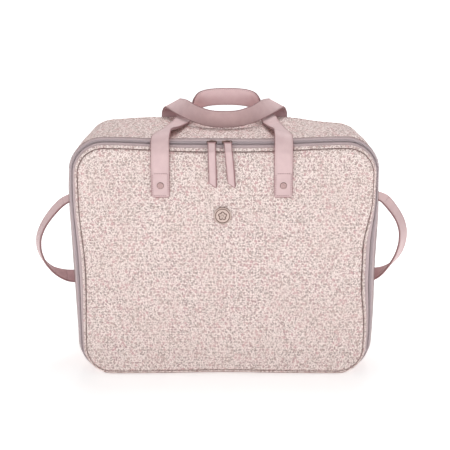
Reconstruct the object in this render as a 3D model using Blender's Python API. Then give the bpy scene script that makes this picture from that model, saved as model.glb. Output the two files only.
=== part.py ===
"""A soft zip-around packing case: printed shell, padded boards, lining, a zipped front lid and four handles.

Metres, +Z up. The origin is at the middle of the base, the lid faces -Y and the width runs along X.
"""

import math

import bmesh
import bpy
from mathutils import Matrix, Vector

# ---- driving dimensions ------------------------------------------------------------------------------
WIDTH = 0.476               # outside of the side gussets
HEIGHT = 0.390              # base to the top of the gusset
FRONT = -0.0990             # outer face of the lid's skin
BACK = 0.0990               # outer face of the back skin
CORNER = 0.048              # outer corner radius of the shell
GAP = 0.0003                # clearance between neighbouring pieces
SKIN = 0.0020               # printed shell fabric
BOARD = 0.0030              # padded stiffening boards
LINING = 0.0008             # lining cloth
ARC_STEPS = 8               # facets round each corner

GUSSET_FRONT = -0.0795      # where the gusset starts, behind the zip
GUSSET_BACK = 0.0940
BACK_WELT = (0.0027, 0.0966, 0.0023)     # inset, y and radius of the back piping
LID_WELT = (0.0165, -0.0965, 0.0021)     # the same of the lid's piping, whose lowest run is the hinge line
LID_INSET = 0.0189          # the lid's panels lie this far inside the shell's outline
BACK_INSET = 0.0053
LINING_INSET = 0.0056       # the lining inside the gusset and the base
LINING_FRONT = -0.0770
LINING_BACK = 0.0925
BACK_LINING_Y = 0.0928
BOARD_FRONT = -0.0760       # the gusset's boards run from here to BOARD_BACK
BOARD_BACK = 0.0930

# The zip lies on a 45 degree slope from the lid's piping out to the gusset. These are distances up it.
LID_TAPE = (0.0025, 0.0090)
LID_COIL = (0.0093, 0.0126)
BODY_COIL = (0.0136, 0.0169)
BODY_TAPE = (0.0172, 0.0225)
HINGE_STRIP = (0.0030, 0.0220)
TAPE_HALF = 0.0005
COIL_LOW, COIL_HIGH = -0.0010, 0.0014
ZIP_END = (0.0134, 0.0200)  # the stop patch at each end of the zip, and its height over the slope
ZIP_END_LOW, ZIP_END_HIGH = 0.0017, 0.0029
SLOPE = math.sqrt(0.5)

STRAP = 0.029               # width of the top handles' strap
STRAP_HALF = 0.0016         # half the thickness of its two layers
LEG_X = 0.096               # middle of each rear handle leg
FRONT_LEG_X = 0.0951        # half the spacing of the front handle's legs
FRONT_SHIFT = -0.0038       # of the front handle's sewn ends, off centre
ARCH_SHIFT = 0.0040         # of the front handle's arch, off centre
ARCH_Y = 0.069
BADGE_X = -0.0028
LEG_LOW = 0.302             # lower end of the sewn part
LEG_FOLD = 0.341            # stitch line, above which the strap is free
RIVET_Z = 0.321
BADGE_Z = 0.272
BADGE_RADIUS = 0.0137

SIDE_STRAP = 0.025
SIDE_HIGH = 0.287           # upper and lower stitch lines of the side handles
SIDE_LOW = 0.137
SIDE_REACH = 0.066          # how far a side handle stands out
SIDE_SWING = math.radians(30)
SIDE_PATCH = 0.028

SLIDER_X = (-0.0185, 0.0055)
SLIDER_MID = 0.0131         # up the slope, over the join of the two coils
TAB_WIDTH = 0.012
TAB_TIP = 0.318

PRINT = (0.80, 0.70, 0.69)
PINK = (0.72, 0.52, 0.54)
TAPE = (0.42, 0.32, 0.36)
NICKEL = (0.62, 0.56, 0.52)
FOAM = (0.85, 0.84, 0.82)
CLOTH = (0.82, 0.76, 0.74)


# ---- scene and materials -----------------------------------------------------------------------------
def clear_scene():
    for obj in list(bpy.data.objects):
        bpy.data.objects.remove(obj, do_unlink=True)


def material(name, colour, roughness, metallic=0.0):
    mat = bpy.data.materials.get(name) or bpy.data.materials.new(name)
    mat.use_nodes = True
    shader = mat.node_tree.nodes["Principled BSDF"]
    shader.inputs["Base Color"].default_value = (*colour, 1.0)
    shader.inputs["Roughness"].default_value = roughness
    shader.inputs["Metallic"].default_value = metallic
    return mat


def add_object(name, bm, colour, roughness=0.6, metallic=0.0, smooth=False):
    """Turns a closed bmesh into a named object with a material of its own."""
    bmesh.ops.recalc_face_normals(bm, faces=bm.faces)
    mesh = bpy.data.meshes.new(name)
    bm.to_mesh(mesh)
    bm.free()
    if smooth:
        mesh.shade_smooth()
        mesh.set_sharp_from_angle(angle=math.radians(35))
    mesh.materials.append(material(name + "_finish", colour, roughness, metallic))
    obj = bpy.data.objects.new(name, mesh)
    bpy.context.scene.collection.objects.link(obj)
    return obj


# ---- the shell's outline -----------------------------------------------------------------------------
def corner_arc(side, top, first, last, trim=0.0):
    """Stations (centre x, centre z, angle) of one corner. side and top are -1 or 1."""
    x = side * (WIDTH / 2 - CORNER)
    z = HEIGHT / 2 + top * (HEIGHT / 2 - CORNER)
    turn = math.copysign(trim / CORNER, last - first)
    first, last = math.radians(first) + turn, math.radians(last) - turn
    return [(x, z, first + (last - first) * i / ARC_STEPS) for i in range(ARC_STEPS + 1)]


LOWER_LEFT = corner_arc(-1, -1, 270, 180)
UPPER_LEFT = corner_arc(-1, 1, 180, 90)
UPPER_RIGHT = corner_arc(1, 1, 90, 0)
LOWER_RIGHT = corner_arc(1, -1, 0, -90)
RING = LOWER_LEFT + UPPER_LEFT + UPPER_RIGHT + LOWER_RIGHT
ARCH = LOWER_LEFT[-1:] + UPPER_LEFT + UPPER_RIGHT + LOWER_RIGHT[:1]
ZIP_RUN = LOWER_LEFT[3:] + UPPER_LEFT + UPPER_RIGHT + LOWER_RIGHT[:6]
STRIP_RUN = corner_arc(1, -1, -57, -90) + corner_arc(-1, -1, 270, 237)
BASE = corner_arc(1, -1, 0, -90, trim=0.0006) + corner_arc(-1, -1, 270, 180, trim=0.0006)


def place(station, inset, y):
    x, z, angle = station
    reach = CORNER - inset
    return Vector((x + reach * math.cos(angle), y, z + reach * math.sin(angle)))


def loft(rows, closed):
    """Skins rows of points into a closed body, round and back to the first row or with both ends capped."""
    bm = bmesh.new()
    rings = [[bm.verts.new(point) for point in row] for row in rows]
    following = rings[1:] + rings[:1] if closed else rings[1:]
    count = len(rings[0])
    for near, far in zip(rings, following):
        for i in range(count):
            j = (i + 1) % count
            bm.faces.new((near[i], near[j], far[j], far[i]))
    if not closed:
        bm.faces.new(rings[0])
        bm.faces.new(list(reversed(rings[-1])))
    return bm


def band(name, section, stations, closed, colour, roughness=0.6):
    """A strip that follows the outline. section is its cross-section as (inset, y) corners."""
    rows = [[place(station, inset, y) for inset, y in section] for station in stations]
    return add_object(name, loft(rows, closed), colour, roughness, smooth=True)


def box_section(inset_0, inset_1, y_0, y_1):
    return [(inset_0, y_0), (inset_1, y_0), (inset_1, y_1), (inset_0, y_1)]


def round_section(inset, y, radius, sides=8):
    turns = [2 * math.pi * i / sides for i in range(sides)]
    return [(inset + radius * math.cos(a), y + radius * math.sin(a)) for a in turns]


def on_slope(along, lift):
    """(inset, y) of a point on the zip's slope: along it from the lid's piping, and lift outwards from it."""
    inset, y, _ = LID_WELT
    return inset - SLOPE * (along + lift), y + SLOPE * (along - lift)


def slope_section(span, low, high):
    start, end = span
    return [on_slope(start, low), on_slope(end, low), on_slope(end, high), on_slope(start, high)]


def plate(name, inset, y_0, y_1, colour, roughness=0.6):
    """A flat panel of the shell's outline, inset all round."""
    rows = [[place(station, inset, y) for station in RING] for y in (y_0, y_1)]
    return add_object(name, loft(rows, closed=False), colour, roughness)


def block(name, low, high, colour, roughness=0.6):
    corners = [(0, 0), (1, 0), (1, 1), (0, 1)]
    pick = (low, high)
    rows = [[Vector((pick[i][0], pick[j][1], pick[k][2])) for i, j in corners] for k in (0, 1)]
    return add_object(name, loft(rows, closed=False), colour, roughness)


def turned(name, profile, centre, axis, colour, roughness, metallic, sides=28):
    """A body of revolution. profile is (radius, distance along axis), and may close on itself as a ring."""
    to_axis = Vector((0, 0, 1)).rotation_difference(Vector(axis)).to_matrix()
    turns = [2 * math.pi * i / sides for i in range(sides)]
    rows = []
    for radius, along in profile:
        circle = [Vector((radius * math.cos(a), radius * math.sin(a), along)) for a in turns]
        rows.append([Vector(centre) + to_axis @ point for point in circle])
    hollow = profile[0] == profile[-1]
    bm = loft(rows[:-1] if hollow else rows, closed=hollow)
    return add_object(name, bm, colour, roughness, metallic, smooth=True)


def cut(target, centre, axis, radius):
    """Bores a round hole through a panel with a hidden cutter."""
    bm = bmesh.new()
    bmesh.ops.create_cone(bm, cap_ends=True, segments=20, radius1=radius, radius2=radius, depth=0.03)
    cutter = add_object(target.name + "_cutter", bm, NICKEL)
    cutter.rotation_mode = "QUATERNION"
    cutter.rotation_quaternion = Vector((0, 0, 1)).rotation_difference(Vector(axis))
    cutter.location = centre
    cutter.hide_render = True
    cutter.display_type = "WIRE"
    modifier = target.modifiers.new("bore", "BOOLEAN")
    modifier.object = cutter


# ---- shell, boards and lining ------------------------------------------------------------------------
def make_case():
    band("gusset", box_section(0, SKIN, GUSSET_FRONT, GUSSET_BACK), ARCH, False, PRINT)
    band("base_panel", box_section(0, SKIN, GUSSET_FRONT, GUSSET_BACK), BASE, False, PRINT)
    band("back_welt", round_section(*BACK_WELT), RING, True, PRINT)
    lining = box_section(LINING_INSET, LINING_INSET + LINING, LINING_FRONT, LINING_BACK)
    band("gusset_lining", lining, RING, True, CLOTH, 0.8)
    panels = [plate("back_panel", BACK_INSET, BACK - SKIN, BACK, PRINT)]
    panels.append(plate("back_board", BACK_INSET, BACK - SKIN - GAP - BOARD, BACK - SKIN - GAP, FOAM, 0.9))
    panels.append(plate("back_lining", BACK_INSET, BACK_LINING_Y, BACK_LINING_Y + LINING, CLOTH, 0.8))

    near, far = SKIN + GAP, SKIN + GAP + BOARD
    flat_x, flat_z = WIDTH / 2 - CORNER, HEIGHT - CORNER
    y_0, y_1 = BOARD_FRONT, BOARD_BACK
    block("top_board", (-flat_x, y_0, HEIGHT - far), (flat_x, y_1, HEIGHT - near), FOAM, 0.9)
    block("base_board", (-flat_x, y_0, near), (flat_x, y_1, far), FOAM, 0.9)
    block("left_board", (-WIDTH / 2 + near, y_0, CORNER), (-WIDTH / 2 + far, y_1, flat_z), FOAM, 0.9)
    block("right_board", (WIDTH / 2 - far, y_0, CORNER), (WIDTH / 2 - near, y_1, flat_z), FOAM, 0.9)
    return panels


def make_lid():
    band("front_welt", round_section(*LID_WELT), RING, True, PRINT)
    panels = [plate("front_panel", LID_INSET, FRONT, FRONT + SKIN, PRINT)]
    board = FRONT + SKIN + GAP
    panels.append(plate("front_board", LID_INSET, board, board + BOARD, FOAM, 0.9))
    cloth = board + BOARD + GAP
    panels.append(plate("lid_lining", LID_INSET, cloth, cloth + LINING, CLOTH, 0.8))
    return panels


def make_zip():
    band("lid_zip_tape", slope_section(LID_TAPE, -TAPE_HALF, TAPE_HALF), ZIP_RUN, False, TAPE, 0.8)
    band("lid_zip_coil", slope_section(LID_COIL, COIL_LOW, COIL_HIGH), ZIP_RUN, False, TAPE, 0.5)
    band("body_zip_coil", slope_section(BODY_COIL, COIL_LOW, COIL_HIGH), ZIP_RUN, False, TAPE, 0.5)
    band("body_zip_tape", slope_section(BODY_TAPE, -TAPE_HALF, TAPE_HALF), ZIP_RUN, False, TAPE, 0.8)
    band("hinge_strip", slope_section(HINGE_STRIP, -TAPE_HALF, TAPE_HALF), STRIP_RUN, False, PRINT)
    end = slope_section(ZIP_END, ZIP_END_LOW, ZIP_END_HIGH)
    band("zip_end_left", end, ZIP_RUN[:2], False, PINK, 0.5)
    band("zip_end_right", end, ZIP_RUN[-2:], False, PINK, 0.5)


# ---- metal trim --------------------------------------------------------------------------------------
def dome(radius, height, steps=3):
    """A shallow cap's profile, from its rim to a small flat at its crown."""
    turns = [math.radians(80) * i / steps for i in range(steps + 1)]
    return [(radius * math.cos(a), height * math.sin(a)) for a in turns]


def make_rivet(name, x, z, outside, inside, y_sign):
    """A domed cap whose post goes through strap, skin, board and lining, with a washer inside."""
    post, length = 0.0016, abs(outside - inside) + 0.0011
    profile = [(post, -length), (post, 0.0), (0.0052, 0.0), (0.0052, 0.0006)]
    profile += [(r, 0.0008 + h) for r, h in dome(0.0050, 0.0014)]
    turned(name, profile, (x, outside, z), (0, y_sign, 0), NICKEL, 0.35, 1.0, sides=16)
    ring = [(0.0019, 0.0), (0.0046, 0.0), (0.0046, 0.0007), (0.0019, 0.0007), (0.0019, 0.0)]
    turned(name + "_washer", ring, (x, inside, z), (0, -y_sign, 0), NICKEL, 0.4, 1.0, sides=16)


def make_badge(lid_inside):
    outside = FRONT - GAP
    post, length = 0.0020, abs(outside - lid_inside) + 0.0014
    r = BADGE_RADIUS
    profile = [(post, -length), (post, 0.0), (r - 0.0005, 0.0), (r, 0.0006), (r, 0.0018)]
    profile += [(r - 0.0007, 0.0024), (r - 0.0018, 0.0024), (r - 0.0024, 0.0018)]
    profile += [(0.0040, 0.0018), (0.0032, 0.0022), (0.0008, 0.0024)]
    turned("badge", profile, (BADGE_X, outside, BADGE_Z), (0, -1, 0), NICKEL, 0.3, 1.0, sides=28)
    ring = [(0.0023, 0.0), (0.0080, 0.0), (0.0080, 0.0008), (0.0023, 0.0008), (0.0023, 0.0)]
    turned("badge_washer", ring, (BADGE_X, lid_inside, BADGE_Z), (0, 1, 0), NICKEL, 0.4, 1.0, sides=20)


# ---- straps ------------------------------------------------------------------------------------------
def smooth_path(points, steps):
    """A Catmull-Rom curve through the points."""
    points = [Vector(p) for p in points]
    ends = [points[0] * 2 - points[1]] + points + [points[-1] * 2 - points[-2]]
    path = []
    for i in range(1, len(ends) - 2):
        a, b, c, d = ends[i - 1], ends[i], ends[i + 1], ends[i + 2]
        for k in range(steps):
            t = k / steps
            bend = (2 * a - 5 * b + 4 * c - d) * t * t + (3 * b - a - 3 * c + d) * t * t * t
            path.append(0.5 * (2 * b + (c - a) * t + bend))
    return path + [points[-1]]


def ribbon(points, widths, strap, low, high, steps=3):
    """Rows of a flat strap: its width direction at each point is given, and made square to the path."""
    path = smooth_path(points, steps)
    across = smooth_path(widths, steps)
    rows = []
    for i, point in enumerate(path):
        along = (path[min(i + 1, len(path) - 1)] - path[max(i - 1, 0)]).normalized()
        side = (across[i] - along * across[i].dot(along)).normalized()
        face = along.cross(side)
        corners = [(-0.5, low), (0.5, low), (0.5, high), (-0.5, high)]
        rows.append([point + side * strap * w + face * t for w, t in corners])
    return rows


def mirrored(points):
    """Adds the right half of a handle to its left half. The last point is the middle."""
    return list(points) + [(-x, y, z) for x, y, z in reversed(points[:-1])]


def loft_strap(rows):
    """A capped loft whose quads are split the same way on both faces, so that thin layers stay apart."""
    bm = bmesh.new()
    rings = [[bm.verts.new(point) for point in row] for row in rows]
    for near, far in zip(rings, rings[1:]):
        for i, j in ((0, 1), (1, 2), (2, 3), (3, 0)):
            if i < 2:
                bm.faces.new((near[i], near[j], far[j]))
                bm.faces.new((near[i], far[j], far[i]))
            else:
                bm.faces.new((near[i], near[j], far[i]))
                bm.faces.new((near[j], far[j], far[i]))
    bm.faces.new(rings[0])
    bm.faces.new(list(reversed(rings[-1])))
    return bm


def make_top_handle(prefix, path, widths, outward):
    """Two strap layers between stitch lines. outward is 1 where the outer layer is on the path's left."""
    across = mirrored(widths)
    spans = {1: (GAP / 2, STRAP_HALF), -1: (-STRAP_HALF, -GAP / 2)}
    for layer, side in (("outer", outward), ("inner", -outward)):
        rows = ribbon(path, across, STRAP, *spans[side])
        add_object(prefix + "_" + layer, loft_strap(rows), PINK, 0.5, smooth=True)


def make_strap_end(name, x, y_0, y_1):
    """The sewn part of a handle leg, with its two lower corners rounded."""
    half, radius = STRAP / 2, 0.005
    outline = [(x - half, LEG_FOLD - GAP), (x + half, LEG_FOLD - GAP)]
    for side, first in ((1, 0), (-1, -90)):
        for i in range(5):
            a = math.radians(first - 90 * i / 4)
            centre = x + side * (half - radius)
            outline.append((centre + radius * math.cos(a), LEG_LOW + radius + radius * math.sin(a)))
    rows = [[Vector((px, y, pz)) for px, pz in outline] for y in (y_0, y_1)]
    return add_object(name, loft(rows, closed=False), PINK, 0.5)


def leaning(points):
    """Shifts the front handle sideways, from its sewn ends to its arch."""
    path = []
    for x, y, z in points:
        share = min(1.0, max(0.0, (y - FRONT) / (ARCH_Y - FRONT)))
        path.append((x + FRONT_SHIFT + (ARCH_SHIFT - FRONT_SHIFT) * share, y, z))
    return path


def make_front_handle():
    y = FRONT - GAP - STRAP_HALF
    points = [(-FRONT_LEG_X, y, LEG_FOLD), (-0.0949, y - 0.0008, 0.358), (-0.0947, y - 0.0008, 0.374)]
    points += [(-0.0942, -0.0965, 0.3885), (-0.0928, -0.0840, 0.3965), (-0.0900, -0.0620, 0.3970)]
    points += [(-0.0855, -0.0280, 0.3948), (-0.0800, 0.0060, 0.3942), (-0.0745, 0.0340, 0.3944)]
    points += [(-0.0680, 0.0560, 0.4035), (-0.0560, 0.0665, 0.4180), (-0.0350, ARCH_Y, 0.4280)]
    points += [(0.0, ARCH_Y, 0.4308)]
    widths = [(1, 0, 0)] * 7 + [(1, -0.05, 0), (1, -0.25, 0), (0.75, -0.65, 0.15), (0.1, -0.6, 0.75)]
    widths += [(-0.2, -0.1, 1), (0, 0, 1)]
    make_top_handle("front_handle", leaning(mirrored(points)), widths, outward=-1)


def make_rear_handle():
    y = BACK + GAP + STRAP_HALF
    points = [(-LEG_X, y, LEG_FOLD), (-0.0958, y + 0.0010, 0.362), (-0.0950, y + 0.0005, 0.384)]
    points += [(-0.0930, 0.1045, 0.4030), (-0.0895, 0.0950, 0.4152), (-0.0840, 0.0810, 0.4188)]
    points += [(-0.0760, 0.0610, 0.4182), (-0.0635, 0.0390, 0.4150), (-0.0460, 0.0190, 0.4105)]
    points += [(-0.0230, 0.0040, 0.4065), (0.0, 0.0, 0.4060)]
    widths = [(1, 0, 0), (1, 0, 0), (0.97, 0, 0.15), (0.88, 0, 0.42), (0.84, 0, 0.54), (0.80, 0, 0.60)]
    widths += [(0.70, 0, 0.72), (0.45, -0.05, 0.90), (0.20, -0.15, 1), (0.05, -0.20, 1), (0, -0.20, 1)]
    make_top_handle("rear_handle", mirrored(points), widths, outward=1)


def make_side_handle(name, side):
    """A D-shaped loop on a vertical axis, swung forwards, whose ends lie flat on the gusset."""
    middle, half = (SIDE_HIGH + SIDE_LOW) / 2, (SIDE_HIGH - SIDE_LOW) / 2
    upper = [(0.0, 0.985), (0.05, 0.91), (0.21, 0.79), (0.49, 0.61), (0.76, 0.37), (0.94, 0.17), (1.0, 0.0)]
    points, widths = [], []
    for reach, rise in upper + [(reach, -rise) for reach, rise in reversed(upper[:-1])]:
        swing = SIDE_SWING * min(1.0, 2 * reach) ** 1.5
        out, forward = SIDE_REACH * reach * math.cos(swing), -SIDE_REACH * reach * math.sin(swing)
        points.append((side * out, forward, half * rise))
        widths.append((side * math.sin(swing), math.cos(swing), 0))
    rows = ribbon(points, widths, SIDE_STRAP, -STRAP_HALF, STRAP_HALF)
    obj = add_object(name, loft_strap(rows), PINK, 0.5, smooth=True)
    obj.location = (side * (WIDTH / 2 + GAP + STRAP_HALF), 0, middle)


def make_side_patches(prefix, side):
    """The sewn ends of a side handle, above and below its loop."""
    near, far = WIDTH / 2 + GAP, WIDTH / 2 + GAP + 2 * STRAP_HALF
    low_x, high_x = (near, far) if side > 0 else (-far, -near)
    half = SIDE_STRAP / 2
    upper = (SIDE_HIGH + GAP, SIDE_HIGH + SIDE_PATCH)
    lower = (SIDE_LOW - SIDE_PATCH, SIDE_LOW - GAP)
    for label, (z_0, z_1) in (("upper", upper), ("lower", lower)):
        block(prefix + "_end_" + label, (low_x, -half, z_0), (high_x, half, z_1), PINK, 0.5)


# ---- zip sliders and pulls ---------------------------------------------------------------------------
def slope_frame(x):
    """A frame on the zip at x: local X along the zip, local Y up the slope, local Z out of it."""
    inset, y = on_slope(SLIDER_MID, 0.0)
    turn = Matrix(((1, 0, 0), (0, SLOPE, -SLOPE), (0, SLOPE, SLOPE)))
    return Matrix.Translation((x, y, HEIGHT - inset)) @ turn.to_4x4()


def tube(path, radius, sides=8):
    """Rows round a closed loop that lies in a plane."""
    centre = sum(path, Vector()) / len(path)
    normal = (path[0] - centre).cross(path[1] - centre).normalized()
    rows = []
    for i, point in enumerate(path):
        along = (path[(i + 1) % len(path)] - path[i - 1]).normalized()
        side = along.cross(normal)
        turns = [2 * math.pi * k / sides for k in range(sides)]
        rows.append([point + (side * math.cos(a) + normal * math.sin(a)) * radius for a in turns])
    return rows


def rounded_loop(half_x, half_y, radius, steps=4):
    points = []
    for quarter, (sx, sy) in enumerate(((1, 1), (-1, 1), (-1, -1), (1, -1))):
        for i in range(steps + 1):
            a = math.pi / 2 * (quarter + i / steps)
            x = sx * (half_x - radius) + radius * math.cos(a)
            points.append(Vector((x, sy * (half_y - radius) + radius * math.sin(a), 0)))
    return points


def slider_section():
    """Cross-section of a slider across the zip: two plates, joined by a web between the coils."""
    web, half = 0.0002, 0.0056
    low, high = COIL_LOW - GAP, COIL_HIGH + GAP
    top, bottom = high + 0.0014, low - 0.0014
    right = [(half, bottom), (half, low), (web, low), (web, high), (half, high), (half, top)]
    return right + [(-y, z) for y, z in reversed(right)]


def make_slider(name, x):
    frame = slope_frame(x)
    rows = [[frame @ Vector((along, y, z)) for y, z in slider_section()] for along in (-0.0070, 0.0070)]
    add_object(name, loft(rows, closed=False), NICKEL, 0.35, 1.0)

    base = COIL_HIGH + 2 * GAP + 0.0014
    outer = [(-0.0040, base), (-0.0040, base + 0.0034), (-0.0028, base + 0.0046), (0.0028, base + 0.0046)]
    outer += [(0.0040, base + 0.0034), (0.0040, base)]
    inner = [(0.0028, base), (0.0028, base + 0.0026), (0.0018, base + 0.0034), (-0.0018, base + 0.0034)]
    inner += [(-0.0028, base + 0.0026), (-0.0028, base)]
    rows = [[frame @ Vector((along, y, z)) for y, z in outer + inner] for along in (-0.0016, 0.0016)]
    add_object(name + "_crown", loft(rows, closed=False), NICKEL, 0.35, 1.0)


def pull_pivot(x):
    return slope_frame(x) @ Vector((0, 0, COIL_HIGH + 2 * GAP + 0.0014 + 0.0016))


def make_pull(prefix, x):
    """A wire ring through the slider's crown, and a leather tab folded over the ring's lower bar."""
    pivot = pull_pivot(x)
    bar = Vector((x, -0.1020, 0.3790))
    half = (bar - pivot).length / 2
    down = (bar - pivot).normalized()
    loop = rounded_loop(0.0072, half, 0.0016)
    turn = Matrix((Vector((1, 0, 0)), down, Vector((1, 0, 0)).cross(down))).transposed().to_4x4()
    frame = Matrix.Translation((pivot + bar) / 2) @ turn
    rows = tube([frame @ point for point in loop], 0.0008)
    add_object(prefix + "_pull_ring", loft(rows, closed=True), NICKEL, 0.3, 1.0, smooth=True)

    hole, wrap = 0.0011, 0.0024
    turns = [math.pi * i / 8 for i in range(9)]
    outer = [(bar.y - 0.0022, TAB_TIP)]
    outer += [(bar.y - wrap * math.cos(a), bar.z + wrap * math.sin(a)) for a in turns]
    outer.append((bar.y + 0.0007, TAB_TIP + 0.002))
    inner = [(bar.y - 0.0004, TAB_TIP + 0.002)]
    inner += [(bar.y + hole * math.cos(a), bar.z + hole * math.sin(a)) for a in turns]
    inner.append((bar.y - 0.0009, TAB_TIP))
    rows = [[Vector((px, y, z)) for y, z in outer + inner] for px in (x - TAB_WIDTH / 2, x + TAB_WIDTH / 2)]
    add_object(prefix + "_pull_tab", loft(rows, closed=False), PINK, 0.5)


# ---- the whole case ----------------------------------------------------------------------------------
def main():
    clear_scene()
    back_panels = make_case()
    lid_panels = make_lid()
    make_zip()

    lid_inside = FRONT + SKIN + BOARD + LINING + 3 * GAP
    back_inside = BACK_LINING_Y - GAP
    strap_depth = GAP + 2 * STRAP_HALF
    for side, label in ((-1, "left"), (1, "right")):
        front_x, rear_x = FRONT_SHIFT + side * FRONT_LEG_X, side * LEG_X
        front_end = make_strap_end("front_handle_end_" + label, front_x, FRONT - strap_depth, FRONT - GAP)
        rear_end = make_strap_end("rear_handle_end_" + label, rear_x, BACK + GAP, BACK + strap_depth)
        make_rivet("front_rivet_" + label, front_x, RIVET_Z, FRONT - strap_depth - GAP, lid_inside, -1)
        make_rivet("rear_rivet_" + label, rear_x, RIVET_Z, BACK + strap_depth + GAP, back_inside, 1)
        for panel in lid_panels + [front_end]:
            cut(panel, (front_x, FRONT, RIVET_Z), (0, 1, 0), 0.0019)
        for panel in back_panels + [rear_end]:
            cut(panel, (rear_x, BACK, RIVET_Z), (0, 1, 0), 0.0019)
        make_side_handle(label + "_side_handle", side)
        make_side_patches(label + "_side_handle", side)
    make_badge(lid_inside)
    for panel in lid_panels:
        cut(panel, (BADGE_X, FRONT, BADGE_Z), (0, 1, 0), 0.0023)

    make_front_handle()
    make_rear_handle()
    for label, x in zip(("left", "right"), SLIDER_X):
        make_slider(label + "_slider", x)
        make_pull(label, x)


main()
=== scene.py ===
"""The looks of the soft packing case: padded printed shell, woven zip, folded straps and metal trim.

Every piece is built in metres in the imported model's frame, from the sizes of its CAD nodes. Each mesh has
a UV map called "fabric" whose unit is one metre of cloth, which the cloth and leatherette materials read.
"""
import math

import bmesh
import bpy
from mathutils import Matrix, Vector, noise


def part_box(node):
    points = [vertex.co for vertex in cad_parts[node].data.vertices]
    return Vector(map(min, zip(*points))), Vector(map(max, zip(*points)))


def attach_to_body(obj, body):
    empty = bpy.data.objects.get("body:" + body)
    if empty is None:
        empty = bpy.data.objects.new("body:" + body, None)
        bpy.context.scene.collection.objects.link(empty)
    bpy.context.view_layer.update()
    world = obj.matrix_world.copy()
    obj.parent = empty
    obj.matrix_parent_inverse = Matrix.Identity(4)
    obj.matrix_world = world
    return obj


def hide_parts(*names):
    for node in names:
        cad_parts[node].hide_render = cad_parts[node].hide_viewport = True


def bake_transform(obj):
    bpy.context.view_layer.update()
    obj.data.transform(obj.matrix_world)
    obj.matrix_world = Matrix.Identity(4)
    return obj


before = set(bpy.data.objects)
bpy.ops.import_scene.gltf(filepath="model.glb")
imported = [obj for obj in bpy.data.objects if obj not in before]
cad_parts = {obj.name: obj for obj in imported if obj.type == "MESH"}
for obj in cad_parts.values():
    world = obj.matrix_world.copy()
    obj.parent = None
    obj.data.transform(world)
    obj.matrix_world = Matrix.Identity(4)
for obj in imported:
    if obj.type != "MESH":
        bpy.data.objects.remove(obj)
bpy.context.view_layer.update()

# ---- sizes ----
MM = 0.001
gusset_low, gusset_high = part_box("gusset")

HALF_WIDTH = gusset_high.x              # of the shell, at its flat sides
HEIGHT = gusset_high.z
CORNER = 0.048                          # shell corner radius
GUSSET_FRONT = gusset_low.y
GUSSET_BACK = gusset_high.y
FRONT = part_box("front_panel")[0].y
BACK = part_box("back_panel")[1].y
BACK_SEAM_Y = GUSSET_BACK + 2.2 * MM
HEM = 1.5 * MM                          # how far the gusset's edges are turned in
SKIN = 2.0 * MM                         # thickness of the gusset's cloth

LID_HALF = 0.2225                       # the lid's seam, at its narrowest before softening
LID_TOP = 0.3722
LID_BOTTOM = 0.0058
LID_CORNER = 0.040
LID_SEAM_Y = FRONT + 0.8 * MM
LID_CROWN = 2.5 * MM                    # how far the padded lid stands out in its middle
LID_ROLL = 1.8 * MM                     # how far its edge rolls forward from the seam
ROLL_REACH = 0.008                      # a padded panel's edge is rounded over this far from the seam
CROWN_REACH = 0.13                      # and its crown is full this far in

# Shares of the slope from the lid's seam out to the gusset, in order
WELT = (0.030, 0.300)
LID_TAPE = (0.270, 0.515)
LID_COIL = (0.510, 0.625)
BODY_COIL = (0.620, 0.735)
BODY_TAPE = (0.755, 1.000)
ZIP_STOP = (0.66, 0.93)                 # the patch sewn over each end of the coils
SLOPE_BOW = 1.6 * MM                    # how far the slope's middle stands out
COIL_PITCH = 1.9 * MM

STRAP = 0.029
STRAP_LAYER = 1.5 * MM
TAB_WIDTH = 0.0122
TAB_LENGTH = 0.0620
TAB_SLANT = 9.0 * MM                    # of its cut lower end
TAB_LAYER = 0.75 * MM
LEG_X = 0.096                           # middle of each rear handle leg
FRONT_LEG_X = 0.0951                    # half the spacing of the front handle's legs
FRONT_SHIFT = -0.0038                   # of the front handle's sewn ends
ARCH_SHIFT = 0.0040                     # of its arch
ARCH_Y = 0.069
LEG_LOW = 0.302
LEG_FOLD = 0.341
RIVET_Z = 0.321
SLIDER_LONG = 0.90 * MM                 # scales of the slider's outline, whose points are in mm
SLIDER_WIDE = 0.66 * MM
SLIDER_OFFSET = 1.8 * MM                # from a slider's middle to its bridge
PETALS = 5                              # of every flower, printed or on the badge
FLOOR_GAP = 0.3 * MM                    # kept under the soft pieces that rest on the floor
SIDE_STRAP = 0.025
SIDE_SEWN = 28 * MM                     # a side strap's sewn ends reach up to here from the shell
STITCH_INSET = 2.6 * MM
STITCH_PITCH = 3.4 * MM                 # along the straps
SEAM_PITCH = 2.6 * MM                   # along the seams of the shell and the pulls


# ---- small maths ----
def smooth(start, end, value):
    t = min(1.0, max(0.0, (value - start) / (end - start)))
    return t * t * (3 - 2 * t)


def mix(a, b, t):
    return a + (b - a) * t


def hump(value, centre, width):
    return math.exp(-((value - centre) / width) ** 2)


def ripple(point, wavelength, seed=0.0):
    """Smooth unevenness between about -1 and 1."""
    return noise.noise(Vector(point) / wavelength + Vector((seed, seed * 1.7, seed * 0.6)))


# ---- outlines of the shell and of the lid ----
ARC = math.pi / 2 * CORNER
FLAT_X = HALF_WIDTH - CORNER
FLAT_Z = HEIGHT - 2 * CORNER
PERIMETER = 4 * FLAT_X + 2 * FLAT_Z + 4 * ARC


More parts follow.
